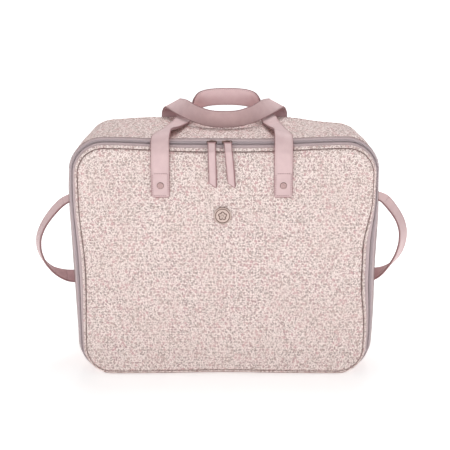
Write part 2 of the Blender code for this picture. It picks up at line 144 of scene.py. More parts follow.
def rounded(t, half, low, high, radius):
    """A point and outward normal on a rounded rectangle. t runs like a length along the shell's outline."""
    t %= PERIMETER
    left = t < PERIMETER / 2
    s = t if left else PERIMETER - t
    bottom, lower, side, upper = FLAT_X, FLAT_X + ARC, FLAT_X + ARC + FLAT_Z, FLAT_X + 2 * ARC + FLAT_Z
    if s < bottom:
        x, z, a = mix(0, half - radius, s / FLAT_X), low + radius, -90.0
    elif s < lower:
        x, z, a = half - radius, low + radius, mix(-90.0, 0.0, (s - bottom) / ARC)
    elif s < side:
        x, z, a = half - radius, mix(low + radius, high - radius, (s - lower) / FLAT_Z), 0.0
    elif s < upper:
        x, z, a = half - radius, high - radius, mix(0.0, 90.0, (s - side) / ARC)
    else:
        x, z, a = mix(half - radius, 0, (s - upper) / FLAT_X), high - radius, 90.0
    a = math.radians(a)
    nx, nz = math.cos(a), math.sin(a)
    x, z = x + radius * nx, z + radius * nz
    return (-x, z, -nx, nz) if left else (x, z, nx, nz)


def foot(z):
    """How far the lid stands forward at its foot."""
    return 0.0055 * (1 - smooth(0.0, 0.06, z))


def seam_point(t, inset=0.0):
    """The lid's outline: pinched at mid height, flared towards its corners, its top corners lifted."""
    x, z, nx, nz = rounded(t, LID_HALF, LID_BOTTOM, LID_TOP, LID_CORNER)
    x, z = x - inset * nx, z - inset * nz
    # Metres outwards at mid height, then added towards the top and towards the foot
    if x < 0:
        flare = -0.0014 + 0.0062 * smooth(0.18, 0.29, z) + 0.0036 * (1 - smooth(0.05, 0.17, z))
    else:
        flare = -0.0038 + 0.0124 * smooth(0.215, 0.30, z) + 0.0076 * (1 - smooth(0.075, 0.165, z))
    share = min(1.0, abs(x) / LID_HALF)
    high = smooth(0.30, LID_TOP, z)
    lift = 0.0056 * smooth(0.03, 0.185, abs(x)) * high
    sag = 0.0025 * hump(x, 0.0, 0.09) * (1 - smooth(0.0, 0.08, z))
    x += math.copysign(1.0, x) * flare * share ** 2
    return Vector((x, LID_SEAM_Y - foot(z), z + lift + sag))


def shell_point(t, y, inset=0.0):
    """The gusset's outer surface: full sides, a top that dips, and rear top corners that droop."""
    x, z, nx, nz = rounded(t, HALF_WIDTH, 0.0, HEIGHT, CORNER)
    x, z = x - inset * nx, z - inset * nz
    rear = smooth(-0.02, GUSSET_BACK, y)
    middle = hump(y, 0.01, 0.05)
    side = abs(nx)
    left = 1.0 if x < 0 else 0.0
    # The sides' fullness, unlike on the left and the right, and flat again down at the floor
    bulge = 0.0022 + 0.0016 * hump(z, 0.29 - 0.02 * left, 0.06) + 0.0022 * left * hump(z, 0.20, 0.07)
    bulge += 0.0030 * left * hump(z, 0.305, 0.05)
    bulge += 0.0019 * (1 - left) * smooth(0.02, 0.08, z) * (1 - smooth(0.26, 0.33, z))
    bulge += 0.0012 * middle + 0.0010 * ripple((x, y, z), 0.09)
    bulge = (bulge - 0.0035 * rear * smooth(0.29, 0.35, z)) * smooth(0.0, 0.05, z)
    top = smooth(0.30, HEIGHT, z) * nz
    # How far the top lies under a flat one, in its middle and at its rear corners
    dip = 0.0010 * middle - 0.0012 * rear + 0.0010 * ripple((x, y, z), 0.08, 3.0)
    droop = 0.0045 * smooth(0.12, 0.20, -x) + 0.0098 * smooth(0.09, 0.195, x)
    dip += droop * rear - 0.0025 * (1 - rear) * hump(abs(x), 0.18, 0.05)
    return Vector((x + nx * bulge * side, y, z - dip * max(0.0, top)))


def slope_point(t, share, lift=0.0):
    """A point on the zip's slope, from the lid's seam at share 0 to the gusset's front edge at share 1."""
    seam = seam_point(t)
    edge = shell_point(t, GUSSET_FRONT)
    across = edge - seam
    along = slope_along(t)
    normal = along.cross(across).normalized()
    bow = SLOPE_BOW * math.sin(math.pi * share)
    return seam + across * share + normal * (lift + bow)


def slope_along(t):
    """The direction along the zip, taken between two points 1 mm to each side."""
    near, far = (rounded(t + shift, HALF_WIDTH, 0, HEIGHT, CORNER) for shift in (-MM, MM))
    return Vector((far[0] - near[0], 0, far[1] - near[1])).normalized()


# ---- mesh building ----
def add_mesh(name, verts, faces, uvs, finish):
    """uvs holds one (u, v) for each face corner, in metres of cloth."""
    mesh = bpy.data.meshes.new(name)
    mesh.from_pydata([tuple(v) for v in verts], [], faces)
    layer = mesh.uv_layers.new(name="fabric")
    flat = [value for uv in uvs for value in uv]
    layer.data.foreach_set("uv", flat)
    mesh.materials.append(finish)
    mesh.shade_smooth()
    obj = bpy.data.objects.new(name, mesh)
    bpy.context.scene.collection.objects.link(obj)
    return obj


def attach(piece, slot, body, *nodes):
    """Says which CAD nodes a piece stands for, if any, and which body it rides on. Its slot, what it is
    made of, is not used.
    """
    if nodes:
        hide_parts(*nodes)
    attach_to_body(piece, body)


def sharpen(obj, degrees=40):
    obj.data.set_sharp_from_angle(angle=math.radians(degrees))
    return obj


def face_out(obj):
    """Turns all the faces of a closed mesh outwards."""
    bm = bmesh.new()
    bm.from_mesh(obj.data)
    bmesh.ops.recalc_face_normals(bm, faces=bm.faces)
    bm.to_mesh(obj.data)
    bm.free()
    return obj


def loft(name, rows, finish, closed=False, lengths=None, widths=None):
    """Skins rows of points that each go once round a closed section. Ends are capped unless closed."""
    count = len(rows[0])
    verts = [point for row in rows for point in row]
    if lengths is None:
        lengths = running([sum(row, Vector()) / count for row in rows], closed)
    if widths is None:
        widths = running(rows[0], True)
    faces, uvs = [], []
    for i in range(len(rows) if closed else len(rows) - 1):
        k = (i + 1) % len(rows)
        for j in range(count):
            m = (j + 1) % count
            faces.append((i * count + j, k * count + j, k * count + m, i * count + m))
            u0, u1, v0, v1 = lengths[i], lengths[i + 1], widths[j], widths[j + 1]
            uvs += [(u0, v0), (u1, v0), (u1, v1), (u0, v1)]
    if not closed:
        faces.append(tuple(range(count)))
        faces.append(tuple(reversed(range(len(verts) - count, len(verts)))))
        uvs += [(widths[j], lengths[0]) for j in range(count)]
        uvs += [(widths[j], lengths[-1]) for j in reversed(range(count))]
    return face_out(add_mesh(name, verts, faces, uvs, finish))


def running(points, closed):
    """Distance along a list of points, with the way back to the first at the end if closed."""
    total, out = 0.0, [0.0]
    ring = list(points) + [points[0]] if closed else list(points)
    for near, far in zip(ring, ring[1:]):
        total += (far - near).length
        out.append(total)
    return out


def there_and_back(columns, outer, inner):
    """A strip's section: outer(share) at each share of its width, then inner(share) on the way back."""
    shares = [k / columns for k in range(columns + 1)]
    return [outer(share) for share in shares] + [inner(share) for share in reversed(shares)]


def steps(first, last, spacing):
    count = max(2, round(abs(last - first) / spacing))
    return [mix(first, last, i / count) for i in range(count + 1)]


def joined(name, shapes, finish):
    """One mesh from many (verts, faces) shapes, as for stitches and zip teeth."""
    verts, faces = [], []
    for shape_verts, shape_faces in shapes:
        base = len(verts)
        verts += shape_verts
        faces += [tuple(base + i for i in face) for face in shape_faces]
    uvs = [(verts[i].x + verts[i].y, verts[i].z) for face in faces for i in face]
    return add_mesh(name, verts, faces, uvs, finish)


def bead(line, radii, sides=6, side_axis=None):
    """A capped tube along a short line of points, as (verts, faces)."""
    verts, faces = [], []
    for i, point in enumerate(line):
        along = (line[min(i + 1, len(line) - 1)] - line[max(i - 1, 0)]).normalized()
        across = along.cross(side_axis or Vector((0.31, 0.17, 0.93))).normalized()
        up = across.cross(along)
        for k in range(sides):
            a = 2 * math.pi * k / sides
            verts.append(point + (across * math.cos(a) + up * math.sin(a)) * radii[i])
    for i in range(len(line) - 1):
        for k in range(sides):
            m = (k + 1) % sides
            faces.append((i * sides + k, i * sides + m, (i + 1) * sides + m, (i + 1) * sides + k))
    faces.append(tuple(reversed(range(sides))))
    faces.append(tuple(range(len(verts) - sides, len(verts))))
    return verts, faces


def stitch_row(line, normals, pitch=STITCH_PITCH, radius=0.28 * MM, share=0.68):
    """Thread stitches along a dense line that lies on a surface."""
    lengths = running(line, False)
    shapes, at, i = [], pitch * 0.5, 0
    while at + pitch * share < lengths[-1]:
        picks = []
        for part in (0.0, 0.22, 0.5, 0.78, 1.0):
            target = at + pitch * share * part
            while lengths[i + 1] < target:
                i += 1
            while lengths[i] > target:
                i -= 1
            t = (target - lengths[i]) / max(1e-9, lengths[i + 1] - lengths[i])
            lift = radius * (1.0 if 0 < part < 1 else -0.6)
            picks.append(line[i].lerp(line[i + 1], t) + normals[i].lerp(normals[i + 1], t) * lift)
        radii = [radius * 0.6, radius, radius, radius, radius * 0.6]
        shapes.append(bead(picks, radii, side_axis=normals[i]))
        at += pitch
    return shapes


# ---- materials ----
class Nodes:
    """Short calls for a material's node tree. Numbers, colours and sockets can all be given as inputs."""

    def __init__(self, name):
        self.material = bpy.data.materials.new(name)
        self.material.use_nodes = True
        self.tree = self.material.node_tree
        self.shader = self.tree.nodes["Principled BSDF"]

    def node(self, kind, settings=None, inputs=None):
        made = self.tree.nodes.new(kind)
        for key, value in (settings or {}).items():
            setattr(made, key, value)
        for key, value in (inputs or {}).items():
            self.feed(made.inputs[key], value)
        return made

    def feed(self, socket, value):
        if isinstance(value, bpy.types.NodeSocket):
            self.tree.links.new(value, socket)
        elif socket.type == "RGBA":
            socket.default_value = (*value, 1.0) if len(value) == 3 else value
        else:
            socket.default_value = value

    def math(self, operation, a, b=0.0, clamp=False):
        made = self.node("ShaderNodeMath", {"operation": operation, "use_clamp": clamp})
        self.feed(made.inputs[0], a)
        self.feed(made.inputs[1], b)
        return made.outputs[0]

    def plus(self, a, b):
        return self.math("ADD", a, b)

    def times(self, a, b, clamp=False):
        return self.math("MULTIPLY", a, b, clamp)

    def vector(self, operation, a, b=(0, 0, 0), output=0):
        made = self.node("ShaderNodeVectorMath", {"operation": operation})
        self.feed(made.inputs[0], a)
        self.feed(made.inputs[1], b)
        return made.outputs[output]

    def scaled(self, vector, factor):
        made = self.node("ShaderNodeVectorMath", {"operation": "SCALE"})
        self.feed(made.inputs[0], vector)
        self.feed(made.inputs["Scale"], factor)
        return made.outputs[0]

    def step(self, value, start, end):
        """Smooth 0 to 1 as value goes from start to end."""
        made = self.node("ShaderNodeMapRange", {"interpolation_type": "SMOOTHSTEP"})
        for key, item in (("Value", value), ("From Min", start), ("From Max", end)):
            self.feed(made.inputs[key], item)
        return made.outputs[0]

    def blend(self, share, a, b):
        made = self.node("ShaderNodeMix", {"data_type": "RGBA"})
        self.feed(made.inputs["Factor"], share)
        self.feed(made.inputs[6], a)
        self.feed(made.inputs[7], b)
        return made.outputs[2]

    def cloth(self):
        """The fabric UV map in millimetres."""
        uv = self.node("ShaderNodeUVMap", {"uv_map": "fabric"}).outputs[0]
        return self.scaled(uv, 1000.0)

    def object_mm(self):
        place = self.node("ShaderNodeTexCoord").outputs["Object"]
        return self.scaled(place, 1000.0)

    def noise(self, vector, scale, detail=2.0, output="Fac", dimensions="3D"):
        inputs = {"Vector": vector, "Scale": scale, "Detail": detail}
        made = self.node("ShaderNodeTexNoise", {"noise_dimensions": dimensions}, inputs)
        return made.outputs[output]

    def cells(self, vector, randomness=1.0, feature="F1", dimensions="2D"):
        settings = {"voronoi_dimensions": dimensions, "feature": feature}
        inputs = {"Vector": vector, "Scale": 1.0, "Randomness": randomness}
        return self.node("ShaderNodeTexVoronoi", settings, inputs)

    def bump(self, height, distance):
        return self.node("ShaderNodeBump", None, {"Height": height, "Distance": distance}).outputs[0]

    def finish(self, colour, roughness, normal=None, **sockets):
        self.feed(self.shader.inputs["Base Color"], colour)
        self.feed(self.shader.inputs["Roughness"], roughness)
        if normal is not None:
            self.feed(self.shader.inputs["Normal"], normal)
        for key, value in sockets.items():
            self.feed(self.shader.inputs[key.replace("_", " ")], value)
        return self.material


def colour(red, green, blue):
    """A linear colour from the 0 to 255 values that a screen shows."""
    def linear(value):
        value /= 255
        return value / 12.92 if value <= 0.04045 else ((value + 0.055) / 1.055) ** 2.4
    return linear(red), linear(green), linear(blue)


def leather_bump(n, place, distance=0.00009, pebble=0.9):
    """Fine pebbled grain of coated cloth."""
    cell = n.cells(n.scaled(place, 1.0 / pebble)).outputs["Distance"]
    fine = n.noise(place, 2.6, 3.0)
    height = n.plus(n.times(cell, -0.8), n.times(fine, 0.6))
    return n.bump(height, distance)


def turned_local(n, place, cell):
    """Coordinates from a cell's middle, turned by a random angle of that cell, and its random colour."""
    offset = n.vector("SUBTRACT", place, cell.outputs["Position"])
    parts = n.node("ShaderNodeSeparateColor", None, {"Color": cell.outputs["Color"]})
    angle = n.times(parts.outputs[0], 2 * math.pi)
    turn = n.node("ShaderNodeVectorRotate", {"rotation_type": "Z_AXIS"}, {"Vector": offset, "Angle": angle})
    local = n.node("ShaderNodeSeparateXYZ", None, {"Vector": turn.outputs[0]})
    return local.outputs[0], local.outputs[1], parts.outputs[1], parts.outputs[2]


def blossom(n, place, size, radius, seed):
    """Small flowers, one to a cell: (mask of petals, mask of middle, random, random)."""
    moved = n.vector("ADD", place, (seed, seed * 0.7, 0.0))
    scaled = n.scaled(moved, 1.0 / size)
    cell = n.cells(scaled, 0.8)
    x, y, pick, tone = turned_local(n, scaled, cell)
    squares = n.plus(n.times(x, x), n.times(y, y))
    reach = n.times(n.math("SQRT", squares), size)
    angle = n.math("ARCTAN2", y, x)
    lobe = n.math("ABSOLUTE", n.math("COSINE", n.times(angle, PETALS / 2)))
    edge = n.times(n.plus(n.times(lobe, 0.55), 0.45), radius)
    grown = n.times(edge, n.plus(n.times(tone, 0.5), 0.7))
    petal = n.step(n.math("SUBTRACT", reach, grown), 0.12, -0.12)
    middle = n.step(reach, radius * 0.30, radius * 0.18)
    return petal, middle, pick, tone


def leaves(n, place, size, length, width, seed):
    """Small pointed leaves, one to a cell: (mask, random, random)."""
    moved = n.vector("ADD", place, (seed, -seed * 1.3, 0.0))
    scaled = n.scaled(moved, 1.0 / size)
    cell = n.cells(scaled, 0.95)
    x, y, pick, tone = turned_local(n, scaled, cell)
    x = n.times(x, size / length)
    y = n.times(y, size / width)
    taper = n.math("SUBTRACT", 1.0, n.times(x, x))
    mask = n.step(n.math("SUBTRACT", taper, n.math("ABSOLUTE", y)), -0.06, 0.18)
    return mask, pick, tone


def make_print(name, ground, depth=1.0, scale=1.0):
    """Ditsy floral print on pebbled coated cloth, in dusty pink, mauve and grey on a pale ground."""
    n = Nodes(name)
    place = n.scaled(n.cloth(), 1 / scale)
    wander = n.scaled(n.noise(place, 0.35, 1.0, "Color", "2D"), 1.6)
    warped = n.vector("ADD", place, wander)
    region = n.noise(place, 0.055, 2.0, dimensions="2D")
    rosy = n.step(region, 0.40, 0.62)

    def tone(*values):
        return colour(*(mix(230, value, depth) for value in values))

    mauve = n.blend(rosy, tone(146, 120, 116), tone(164, 126, 128))
    rose = n.blend(rosy, tone(182, 154, 149), tone(200, 156, 158))
    sage = n.blend(rosy, tone(158, 138, 130), tone(176, 146, 140))

    stems = n.cells(n.scaled(warped, 1 / 5.8), 1.0, "DISTANCE_TO_EDGE").outputs["Distance"]
    stem = n.step(stems, 0.075, 0.035)
    stem = n.times(stem, n.step(n.noise(place, 0.42, 1.0, dimensions="2D"), 0.47, 0.56))
    painted = n.blend(n.times(stem, 0.40), ground, sage)

    for size, length, width, seed, tint in ((3.4, 1.30, 0.62, 11.0, sage), (2.9, 0.95, 0.60, 37.0, mauve)):
        mask, pick, _ = leaves(n, warped, size, length, width, seed)
        shown = n.times(mask, n.step(pick, 0.20, 0.30))
        painted = n.blend(n.times(shown, 0.95), painted, tint)

    for size, radius, seed, low, high in ((5.2, 1.60, 5.0, rose, mauve), (8.0, 2.5, 71.0, mauve, rose)):
        petal, middle, pick, lightness = blossom(n, place, size, radius, seed)
        shown = n.times(petal, n.step(pick, 0.25, 0.33))
        tint = n.blend(n.step(lightness, 0.4, 0.6), low, high)
        painted = n.blend(n.times(shown, 0.95), painted, tint)
        painted = n.blend(n.times(n.times(middle, shown), 0.8), painted, colour(240, 226, 214))

    # Painted shade: soft darker clouds stand in for the shading of the padding's shallow dents
    cloudy = n.noise(place, 0.012, 2.0, dimensions="2D")
    painted = n.blend(n.times(n.step(cloudy, 0.35, 0.7), 0.16), painted, colour(220, 198, 190))
    roughness = n.plus(0.46, n.times(n.noise(place, 0.8, 2.0), 0.12))
    return n.finish(painted, roughness, leather_bump(n, place), Specular_IOR_Level=0.35)


def make_leather(name, tone, shade, roughness=0.42, half_width=None, half_length=None):
    """Plain pebbled leatherette with soft mottling. A strap's edges and ends are darker: edge paint, taken
    onto the face as painted shade along its outline.
    """
    n = Nodes(name)
    place = n.cloth()
    cloudy = n.noise(place, 0.09, 3.0)
    fine = n.noise(place, 1.3, 2.0)
    share = n.plus(n.times(cloudy, 0.7), n.times(fine, 0.3))
    painted = n.blend(n.step(share, 0.35, 0.68), shade, tone)
    parts = n.node("ShaderNodeSeparateXYZ", None, {"Vector": place})
    # Darker towards a strap's edges and ends: edge paint, widened as painted shade along its outline
    for axis, limit in ((1, half_width), (0, half_length)):
        if limit is not None:
            reach = n.math("SUBTRACT", limit / MM, n.math("ABSOLUTE", parts.outputs[axis]))
            painted = n.blend(n.step(reach, 1.7, 0.9), painted, EDGE_PAINT_AND_SHADE_TONE)
    gloss = n.plus(roughness, n.times(fine, 0.12))
    return n.finish(painted, gloss, leather_bump(n, place, 0.00007, 0.7), Specular_IOR_Level=0.4)


def make_woven(name, tone, shade, thread=0.55, roughness=0.75):
    """Plain weave, with thread in millimetres."""
    n = Nodes(name)
    place = n.cloth()
    parts = n.node("ShaderNodeSeparateXYZ", None, {"Vector": place})
    warp = n.math("SINE", n.times(parts.outputs[0], 2 * math.pi / (2 * thread)))
    weft = n.math("SINE", n.times(parts.outputs[1], 2 * math.pi / (2 * thread)))
    weave = n.times(warp, weft)
    height = n.plus(n.times(weave, 0.5), n.times(n.noise(place, 0.9, 2.0), 0.5))
    mottled = n.plus(n.step(weave, -1.0, 1.0), n.times(n.noise(place, 0.12, 3.0), 0.6))
    painted = n.blend(n.times(mottled, 0.62, clamp=True), shade, tone)
    return n.finish(painted, roughness, n.bump(height, 0.00012), Sheen_Weight=0.25)


def make_thread(name, tone):
    """Twisted sewing thread."""
    n = Nodes(name)
    place = n.object_mm()
    twist = n.node("ShaderNodeTexWave", {"bands_direction": "DIAGONAL"}, {"Vector": place, "Scale": 0.9})
    painted = n.blend(twist.outputs["Fac"], tone, tuple(c * 0.8 for c in tone))
    return n.finish(painted, 0.55, n.bump(twist.outputs["Fac"], 0.00006))


def make_nylon(name, tone):
    """Smooth moulded zip coil."""
    n = Nodes(name)
    place = n.object_mm()
    painted = n.blend(n.noise(place, 0.3, 2.0), tone, tuple(c * 0.82 for c in tone))
    return n.finish(painted, n.plus(0.34, n.times(n.noise(place, 0.8, 1.0), 0.12)))


def make_metal(name, tone, roughness, scratch=0.00003):
    """Plated metal with faint brushing and cloudy gloss."""
    n = Nodes(name)
    place = n.object_mm()
    stretched = n.node("ShaderNodeMapping", None, {"Vector": place, "Scale": (0.4, 4.0, 4.0)}).outputs[0]
    brushed = n.noise(stretched, 1.2, 3.0)
    cloudy = n.noise(place, 0.25, 2.0)
    painted = n.blend(n.times(cloudy, 0.5), tone, tuple(c * 0.72 for c in tone))
    gloss = n.plus(roughness, n.times(brushed, 0.14))
    return n.finish(painted, gloss, n.bump(brushed, scratch), Metallic=1.0)


def make_foam(name):
    """Pale stiffening board between the cloths."""
    n = Nodes(name)
    place = n.object_mm()
    pores = n.cells(n.scaled(place, 1 / 1.8), 1.0, dimensions="3D").outputs["Distance"]
    painted = n.blend(n.step(pores, 0.0, 0.7), colour(214, 210, 204), colour(236, 233, 228))
    return n.finish(painted, 0.9, n.bump(pores, 0.0002))


def make_floor(name):
    """Plain pale backdrop paper, lit evenly out to its far end."""
    n = Nodes(name)
    place = n.node("ShaderNodeTexCoord").outputs["Object"]
    painted = n.blend(n.noise(place, 1.5, 2.0), (0.93, 0.93, 0.93), (0.95, 0.95, 0.95))
    far = n.step(n.vector("LENGTH", place, output=1), 0.3, 1.2)
    glow = n.plus(0.43, n.times(far, 0.31))
    return n.finish(painted, 0.9, Emission_Color=(1.0, 1.0, 1.0), Emission_Strength=glow)


# Edge paint, and painted shade along a strap's outline
EDGE_PAINT_AND_SHADE_TONE = colour(156, 118, 120)
PRINTED = make_print("printed_leatherette", colour(243, 228, 223), 1.02, 0.84)
PRINTED_SIDE = make_print("printed_leatherette_side", colour(244, 228, 224), 1.35, 1.08)
STRAP_TONES = (colour(220, 192, 192), colour(213, 184, 185))
# Painted light: a lighter copy of the strap's tones for the front handle's lining, standing in for the
# light on its arch
PAINTED_LIGHT_LINING_TONES = (colour(250, 220, 221), colour(245, 213, 215))
# Painted shade: a darker copy of the strap's tones for the rear handle's lining and the side loops'
# linings, standing in for the shade on them
SHADED_TONES = (colour(200, 166, 169), colour(188, 154, 158))
PINK = make_leather("pink_leatherette", *STRAP_TONES)
TAB = make_leather(
    "pink_leatherette_tab", *STRAP_TONES, half_width=TAB_WIDTH / 2, half_length=TAB_LENGTH / 2)
TAB_INNER = make_leather("pink_leatherette_tab_lining", *STRAP_TONES, half_width=TAB_WIDTH / 2)
SIDE_OUTER = make_leather("pink_leatherette_loop", *STRAP_TONES, half_width=SIDE_STRAP / 2)
# Painted shade: the side loops' linings use the darker shaded copy of the strap's tones
SIDE_INNER_PAINTED_SHADE = make_leather("pink_leatherette_loop_lining_painted_shade", *SHADED_TONES, half_width=SIDE_STRAP / 2)
THREAD = make_thread("sewing_thread", colour(228, 205, 204))
SEWN_THREAD = make_thread("sewn_end_thread", colour(178, 142, 144))
# Dark seam thread, also used for the painted contact shadow under the lid's foot
SEAM_THREAD_AND_FOOT_SHADE = make_thread("seam_thread", colour(146, 116, 112))
TAPE = make_woven("zip_tape_weave", colour(216, 196, 197), colour(182, 162, 165), 0.45)
COIL = make_nylon("zip_coil_nylon", colour(206, 189, 193))
LINING = make_woven("lining_weave", colour(236, 226, 220), colour(222, 209, 204), 0.35, 0.85)
NICKEL = make_metal("satin_nickel_plate", colour(190, 170, 162), 0.32)
RIVET_METAL = make_metal("rivet_plate", colour(188, 160, 158), 0.34)
BRONZE = make_metal("zip_metal_plate", colour(112, 90, 84), 0.32)
DARK_METAL = make_metal("badge_inlay_plate", colour(122, 98, 92), 0.40)
FOAM = make_foam("board_foam")


# ---- shell ----
def padded_panel(
    name, outline, face_y, crown, edge_roll, outward, thickness, finish,
    stations=420, count=46, uneven=1.0, lean=lambda z: 0.0,
):
    """A padded panel inside an outline: crowned and faintly uneven outside, flat inside.

    outline(t) is its edge. Rings of points run from the edge to a short spine along the middle.
    """
    ts = [PERIMETER * i / stations for i in range(stations)]
    edge = [outline(t) for t in ts]
    low_z, high_z = min(p.z for p in edge), max(p.z for p in edge)
    half_spine = max(p.x for p in edge) - (high_z - low_z) / 2
    centre_z = (low_z + high_z) / 2
    shares = [(i / count) ** 1.35 for i in range(count + 1)]

    def inward(point, share):
        spine = Vector((max(-half_spine, min(half_spine, point.x)), point.y, centre_z))
        return point.lerp(spine, share)

    def depth(point, reach):
        """Height of the outside over the seam, reach metres in from the edge."""
        roll = edge_roll * math.sqrt(max(0.0, 1 - (1 - min(1.0, reach / ROLL_REACH)) ** 2))
        full = crown * smooth(0.0, CROWN_REACH, reach)
        wave = 0.0016 * ripple(point, 0.13, 1.0) + 0.0006 * ripple(point, 0.05, 2.0)
        return roll + full + uneven * wave * smooth(0.0, 0.03, reach)

    verts, faces = [], []
    for side in (0, 1):
        for share in shares:
            for i, point in enumerate(edge):
                inner = inward(point, share)
                reach = (inner - point).length
                pucker = 0.00035 * math.sin(i * 2 * math.pi * 0.19) * hump(reach, 0.004, 0.005)
                if side == 0:
                    offset = depth(inner, reach) + pucker
                else:
                    offset = -thickness * smooth(-0.001, 0.004, reach)
                verts.append(Vector((inner.x, face_y - lean(inner.z) + outward * offset, inner.z)))
    ring = len(shares)
    for side in (0, 1):
        base = side * ring * stations
        for k in range(ring - 1):
            for i in range(stations):
                j = (i + 1) % stations
                quad = [base + k * stations + i, base + k * stations + j]
                quad += [base + (k + 1) * stations + j, base + (k + 1) * stations + i]
                faces.append(tuple(quad))
    for i in range(stations):
        j = (i + 1) % stations
        faces.append((i, ring * stations + i, ring * stations + j, j))
    uvs = [(verts[i].x, verts[i].z) for face in faces for i in face]
    obj = add_mesh(name, verts, faces, uvs, finish)
    bm = bmesh.new()
    bm.from_mesh(obj.data)
    bmesh.ops.remove_doubles(bm, verts=bm.verts, dist=0.02 * MM)
    bmesh.ops.recalc_face_normals(bm, faces=bm.faces)
    bm.to_mesh(obj.data)
    bm.free()
    return obj


def welt(name, centre, radius, spacing):
    """Covered piping round an outline, drawn in a little at each stitch."""
    count = round(PERIMETER / spacing)
    sides = 14
    turns = [2 * math.pi * k / sides for k in range(sides)]
    rows = []
    for i in range(count):
        t = PERIMETER * i / count
        point, out = centre(t)
        along = slope_along(t)
        up = out.cross(along).normalized()
        grip = 1 + 0.07 * math.sin(2 * math.pi * i / 6) + 0.05 * ripple(point, 0.02, 5.0)
        row = [point + (out * math.cos(a) + up * math.sin(a)) * radius * grip for a in turns]
        rows.append([Vector((p.x, p.y, max(p.z, FLOOR_GAP))) for p in row])
    widths = [2 * math.pi * radius * k / sides for k in range(sides + 1)]
    return loft(name, rows, PRINTED, closed=True, widths=widths)


def make_lid_shell():
    """The padded lid, its piping, the dark seam at its edge, and a dark thread row under its foot as
    painted contact shadow.
    """
    cover = padded_panel(
        "front_cover", seam_point, LID_SEAM_Y, LID_CROWN, LID_ROLL, -1, 1.2 * MM, PRINTED, lean=foot)
    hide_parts("front_panel")
    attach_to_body(cover, "lid")

    def centre(t):
        share = (WELT[0] + WELT[1]) / 2
        point = slope_point(t, share, -0.9 * MM)
        point.y -= 3.4 * MM * (1 - smooth(0.0, 0.030, point.z))
        point.z = max(point.z, 3.1 * MM)
        out = (slope_point(t, WELT[1]) - slope_point(t, WELT[0])).normalized()
        return point, out

    piping = welt("front_piping", centre, 2.9 * MM, 1.3 * MM)
    attach(piping, "printed_leatherette", "lid", "front_welt")

    # Painted shadow: a row of dark thread just under the piping's foot stands in for the contact shadow
    # where the lid meets the floor
    reach = FLAT_X + 0.25 * ARC
    line = [centre(t)[0] + Vector((0, -1.9 * MM, -2.1 * MM)) for t in steps(-reach, reach, 2.0 * MM)]
    normals = [Vector((0, -1, 0))] * len(line)
    edge = joined("lid_foot_contact_shade", stitch_row(line, normals, SEAM_PITCH, 0.5 * MM, 0.95), SEAM_THREAD_AND_FOOT_SHADE)
    attach(edge, "zip_tape", "lid")

    line, normals = [], []
    for t in steps(0, PERIMETER, 2.0 * MM):
        point = slope_point(t, WELT[0] * 0.6, 0.1 * MM)
        near_floor = 1 - smooth(0.0, 0.030, point.z)
        line.append(point + Vector((0, -1.7 * MM, 0.7 * MM)) * near_floor)
        normals.append(Vector((0, -1, 0)))
    seam = joined("lid_seam_thread", stitch_row(line, normals, SEAM_PITCH, 0.55 * MM, 0.9), SEAM_THREAD_AND_FOOT_SHADE)
    attach(seam, "zip_tape", "lid")


def slope_band(name, span, low, high, ts, finish, columns):
    """A strip of cloth along the zip's slope, from span[0] to span[1] across it."""
    rows = []
    for t in ts:
        rows.append(there_and_back(
            columns,
            lambda share: slope_point(t, mix(*span, share), high),
            lambda share: slope_point(t, mix(*span, share), low)))
    return loft(name, rows, finish)


ZIP_START = FLAT_X + ARC * 0.375
ZIP_END = PERIMETER - ZIP_START
# A coil tooth's path from heel to head: share, height and shift along the zip, then the thread's radius.
# Heights and radii are in mm, and shifts in pitches.
TOOTH = (
    (0.00, 0.20, 0.00, 0.55),
    (0.25, 0.90, 0.05, 0.60),
    (0.60, 1.15, 0.15, 0.62),
    (0.92, 1.10, 0.20, 0.78),
    (1.00, 0.50, 0.20, 0.50),
)


def coil(name, span, side, body, node):
    """One side of a nylon zip coil: a loop of monofilament for each tooth, its head on the inner edge."""
    shapes = []
    count = round((ZIP_END - ZIP_START) / COIL_PITCH)
    for i in range(count):
        t = ZIP_START + COIL_PITCH * (i + (0.5 if side > 0 else 0.0))
        heel, head = (span[0], span[1]) if side > 0 else (span[1], span[0])
        line = []
        for part, lift, shift, _ in TOOTH:
            share = mix(heel, head, part)
            line.append(slope_point(t + shift * COIL_PITCH, share, lift * MM))
        shapes.append(bead(line, [radius * MM for _, _, _, radius in TOOTH]))
    obj = joined(name, shapes, COIL)
    attach(obj, "zip_coil", body, node)


